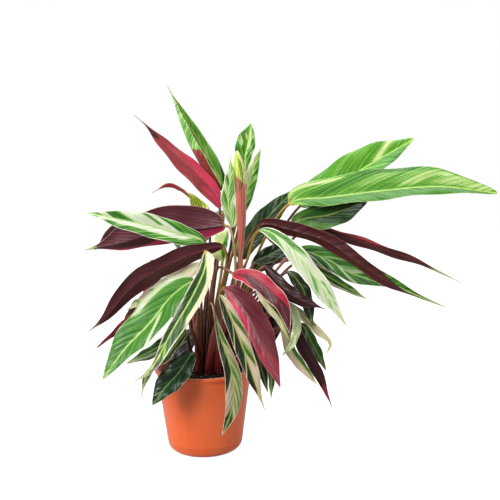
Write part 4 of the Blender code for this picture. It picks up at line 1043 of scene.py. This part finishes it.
# Satin underside: a layer of maroon hides the green, and looks pink where there is none.
leaf_under = leaf_finish("satin_leaf_under",
                         [(0.0, "#12060a"), (0.22, "#3c171e"), (0.40, "#6a3038"), (0.52, "#96464c"),
                          (0.62, "#bc4a5c"), (0.74, "#dc3f6a"), (0.95, "#f07a98")],
                         levels=(-0.10, 0.78), streaking=0.22, rib=("#7a3c42", 0.25), roughness=0.42,
                         line=0.07, relief=(0.08, 0.22))


# Pieces of the leaves. Each leaf is one closed piece with both finishes, and carries the fields that
# they follow. A turned half is green below as well. The rolled leaf has the upper finish all over,
# with its salmon outside as a tint up to where it opens.
SHEATH_COLOUR = "#b04c4a"
# Dark red foot of a stalk without a sheath: partly its own colour, partly painted shade.
STALK_FOOT_RED_AND_SHADE = "#5c2824"
FOOT_COLOUR_HEIGHT = 140.0
FOOT_COLOUR_HOLDS = 0.3
TURN_SLANT = 0.15
ROLL_OPEN = 0.745
ROLL_SLANT = 0.085
TIP_FADE = 0.06
STALK_FADE = 0.03


def make_leaf(plan, root, number):
    """One leaf: its two grids joined by rims, its finishes by face, and its fields by point.

    near_foot fades the stalk's colour to that of its foot, as an ease over the height of the foot; the dark
    red foot of a stalk without a sheath is partly its own colour and partly painted shade.
    """
    grids, facts = leaf_surface(plan, root)
    rings, columns = facts["t"].shape
    places = np.concatenate([grid.reshape(-1, 3) for grid in grids])
    top, bottom, rims = closed_faces(rings, columns)
    faces = np.concatenate([top, bottom, rims])
    if not facing_out(places, faces):
        faces = faces[:, ::-1]
    piece = put("stromanthe_" + plan["name"], places * MM, faces.tolist(),
                ["leaf_" + plan["name"]])
    mesh = piece.data
    mesh.materials.append(leaf_upper)
    mesh.materials.append(leaf_under)

    t, u = facts["t"].ravel(), facts["u"].ravel()
    half, start = plan["turned"]
    green_below = (t > start) & (u * half > 1 - (t - start) / TURN_SLANT)
    under_side = [0 * t > 0, ~green_below]
    if plan["roll"]:
        under_side = [t <= ROLL_OPEN - ROLL_SLANT * u] * 2
    index = [side[top[:, 0]] * (not plan["roll"]) for side in under_side] + [np.zeros(len(rims))]
    mesh.polygons.foreach_set("material_index", np.concatenate(index).astype(np.int32))

    streaks = streak_places(facts, STREAK_SEED_STEP * number, bool(plan["roll"]))
    paint(mesh, "streak", "FLOAT_VECTOR", np.tile(streaks.reshape(-1, 3), (2, 1)))
    pale, pale_from = plan["pale_end"]
    fields = dict(white=whiteness(plan, facts), rib=facts["outward"], edge=facts["edge"] / plan["line"],
                  end=pale * ease((facts["t"] - pale_from) / TIP_FADE),
                  stalk=1 - ease(facts["t"] / STALK_FADE), contrast=plan["contrast"] + 0 * facts["t"])
    for key, values in fields.items():
        paint(mesh, key, "FLOAT", np.tile(values.ravel(), 2))

    upper, under, margin, petiole = (np.array([*linear(plan[key]), 1.0])
                                     for key in ("upper", "under", "margin", "petiole"))
    # The tint of each side, which is darker on leaves that lie in shade: painted shade.
    paint(mesh, "tint_and_shade", "FLOAT_COLOR", np.where(np.concatenate(under_side)[:, None], under, upper))
    paint(mesh, "margin", "FLOAT_COLOR", np.tile(margin, (len(places), 1)))
    # A stalk without a sheath darkens towards its foot: partly its own red-brown, partly painted shade.
    foot_colour_and_shade, foot_height = STALK_FOOT_RED_AND_SHADE, FOOT_COLOUR_HEIGHT
    if plan["sheath"]:
        foot_colour_and_shade, foot_height = SHEATH_COLOUR, plan["sheath"][1]
    near_foot = 1 - ease(np.tile(facts["at"].ravel(), 2)[:, None] / foot_height - FOOT_COLOUR_HOLDS)
    if plan["roll"]:
        near_foot = 0 * near_foot
    paint(mesh, "petiole", "FLOAT_COLOR", petiole + ([*linear(foot_colour_and_shade), 1.0] - petiole) * near_foot)
    mesh.update()


for count, (leaf_plan, root_place) in enumerate(zip(LEAVES, spread_roots())):
    make_leaf(leaf_plan, root_place, count)
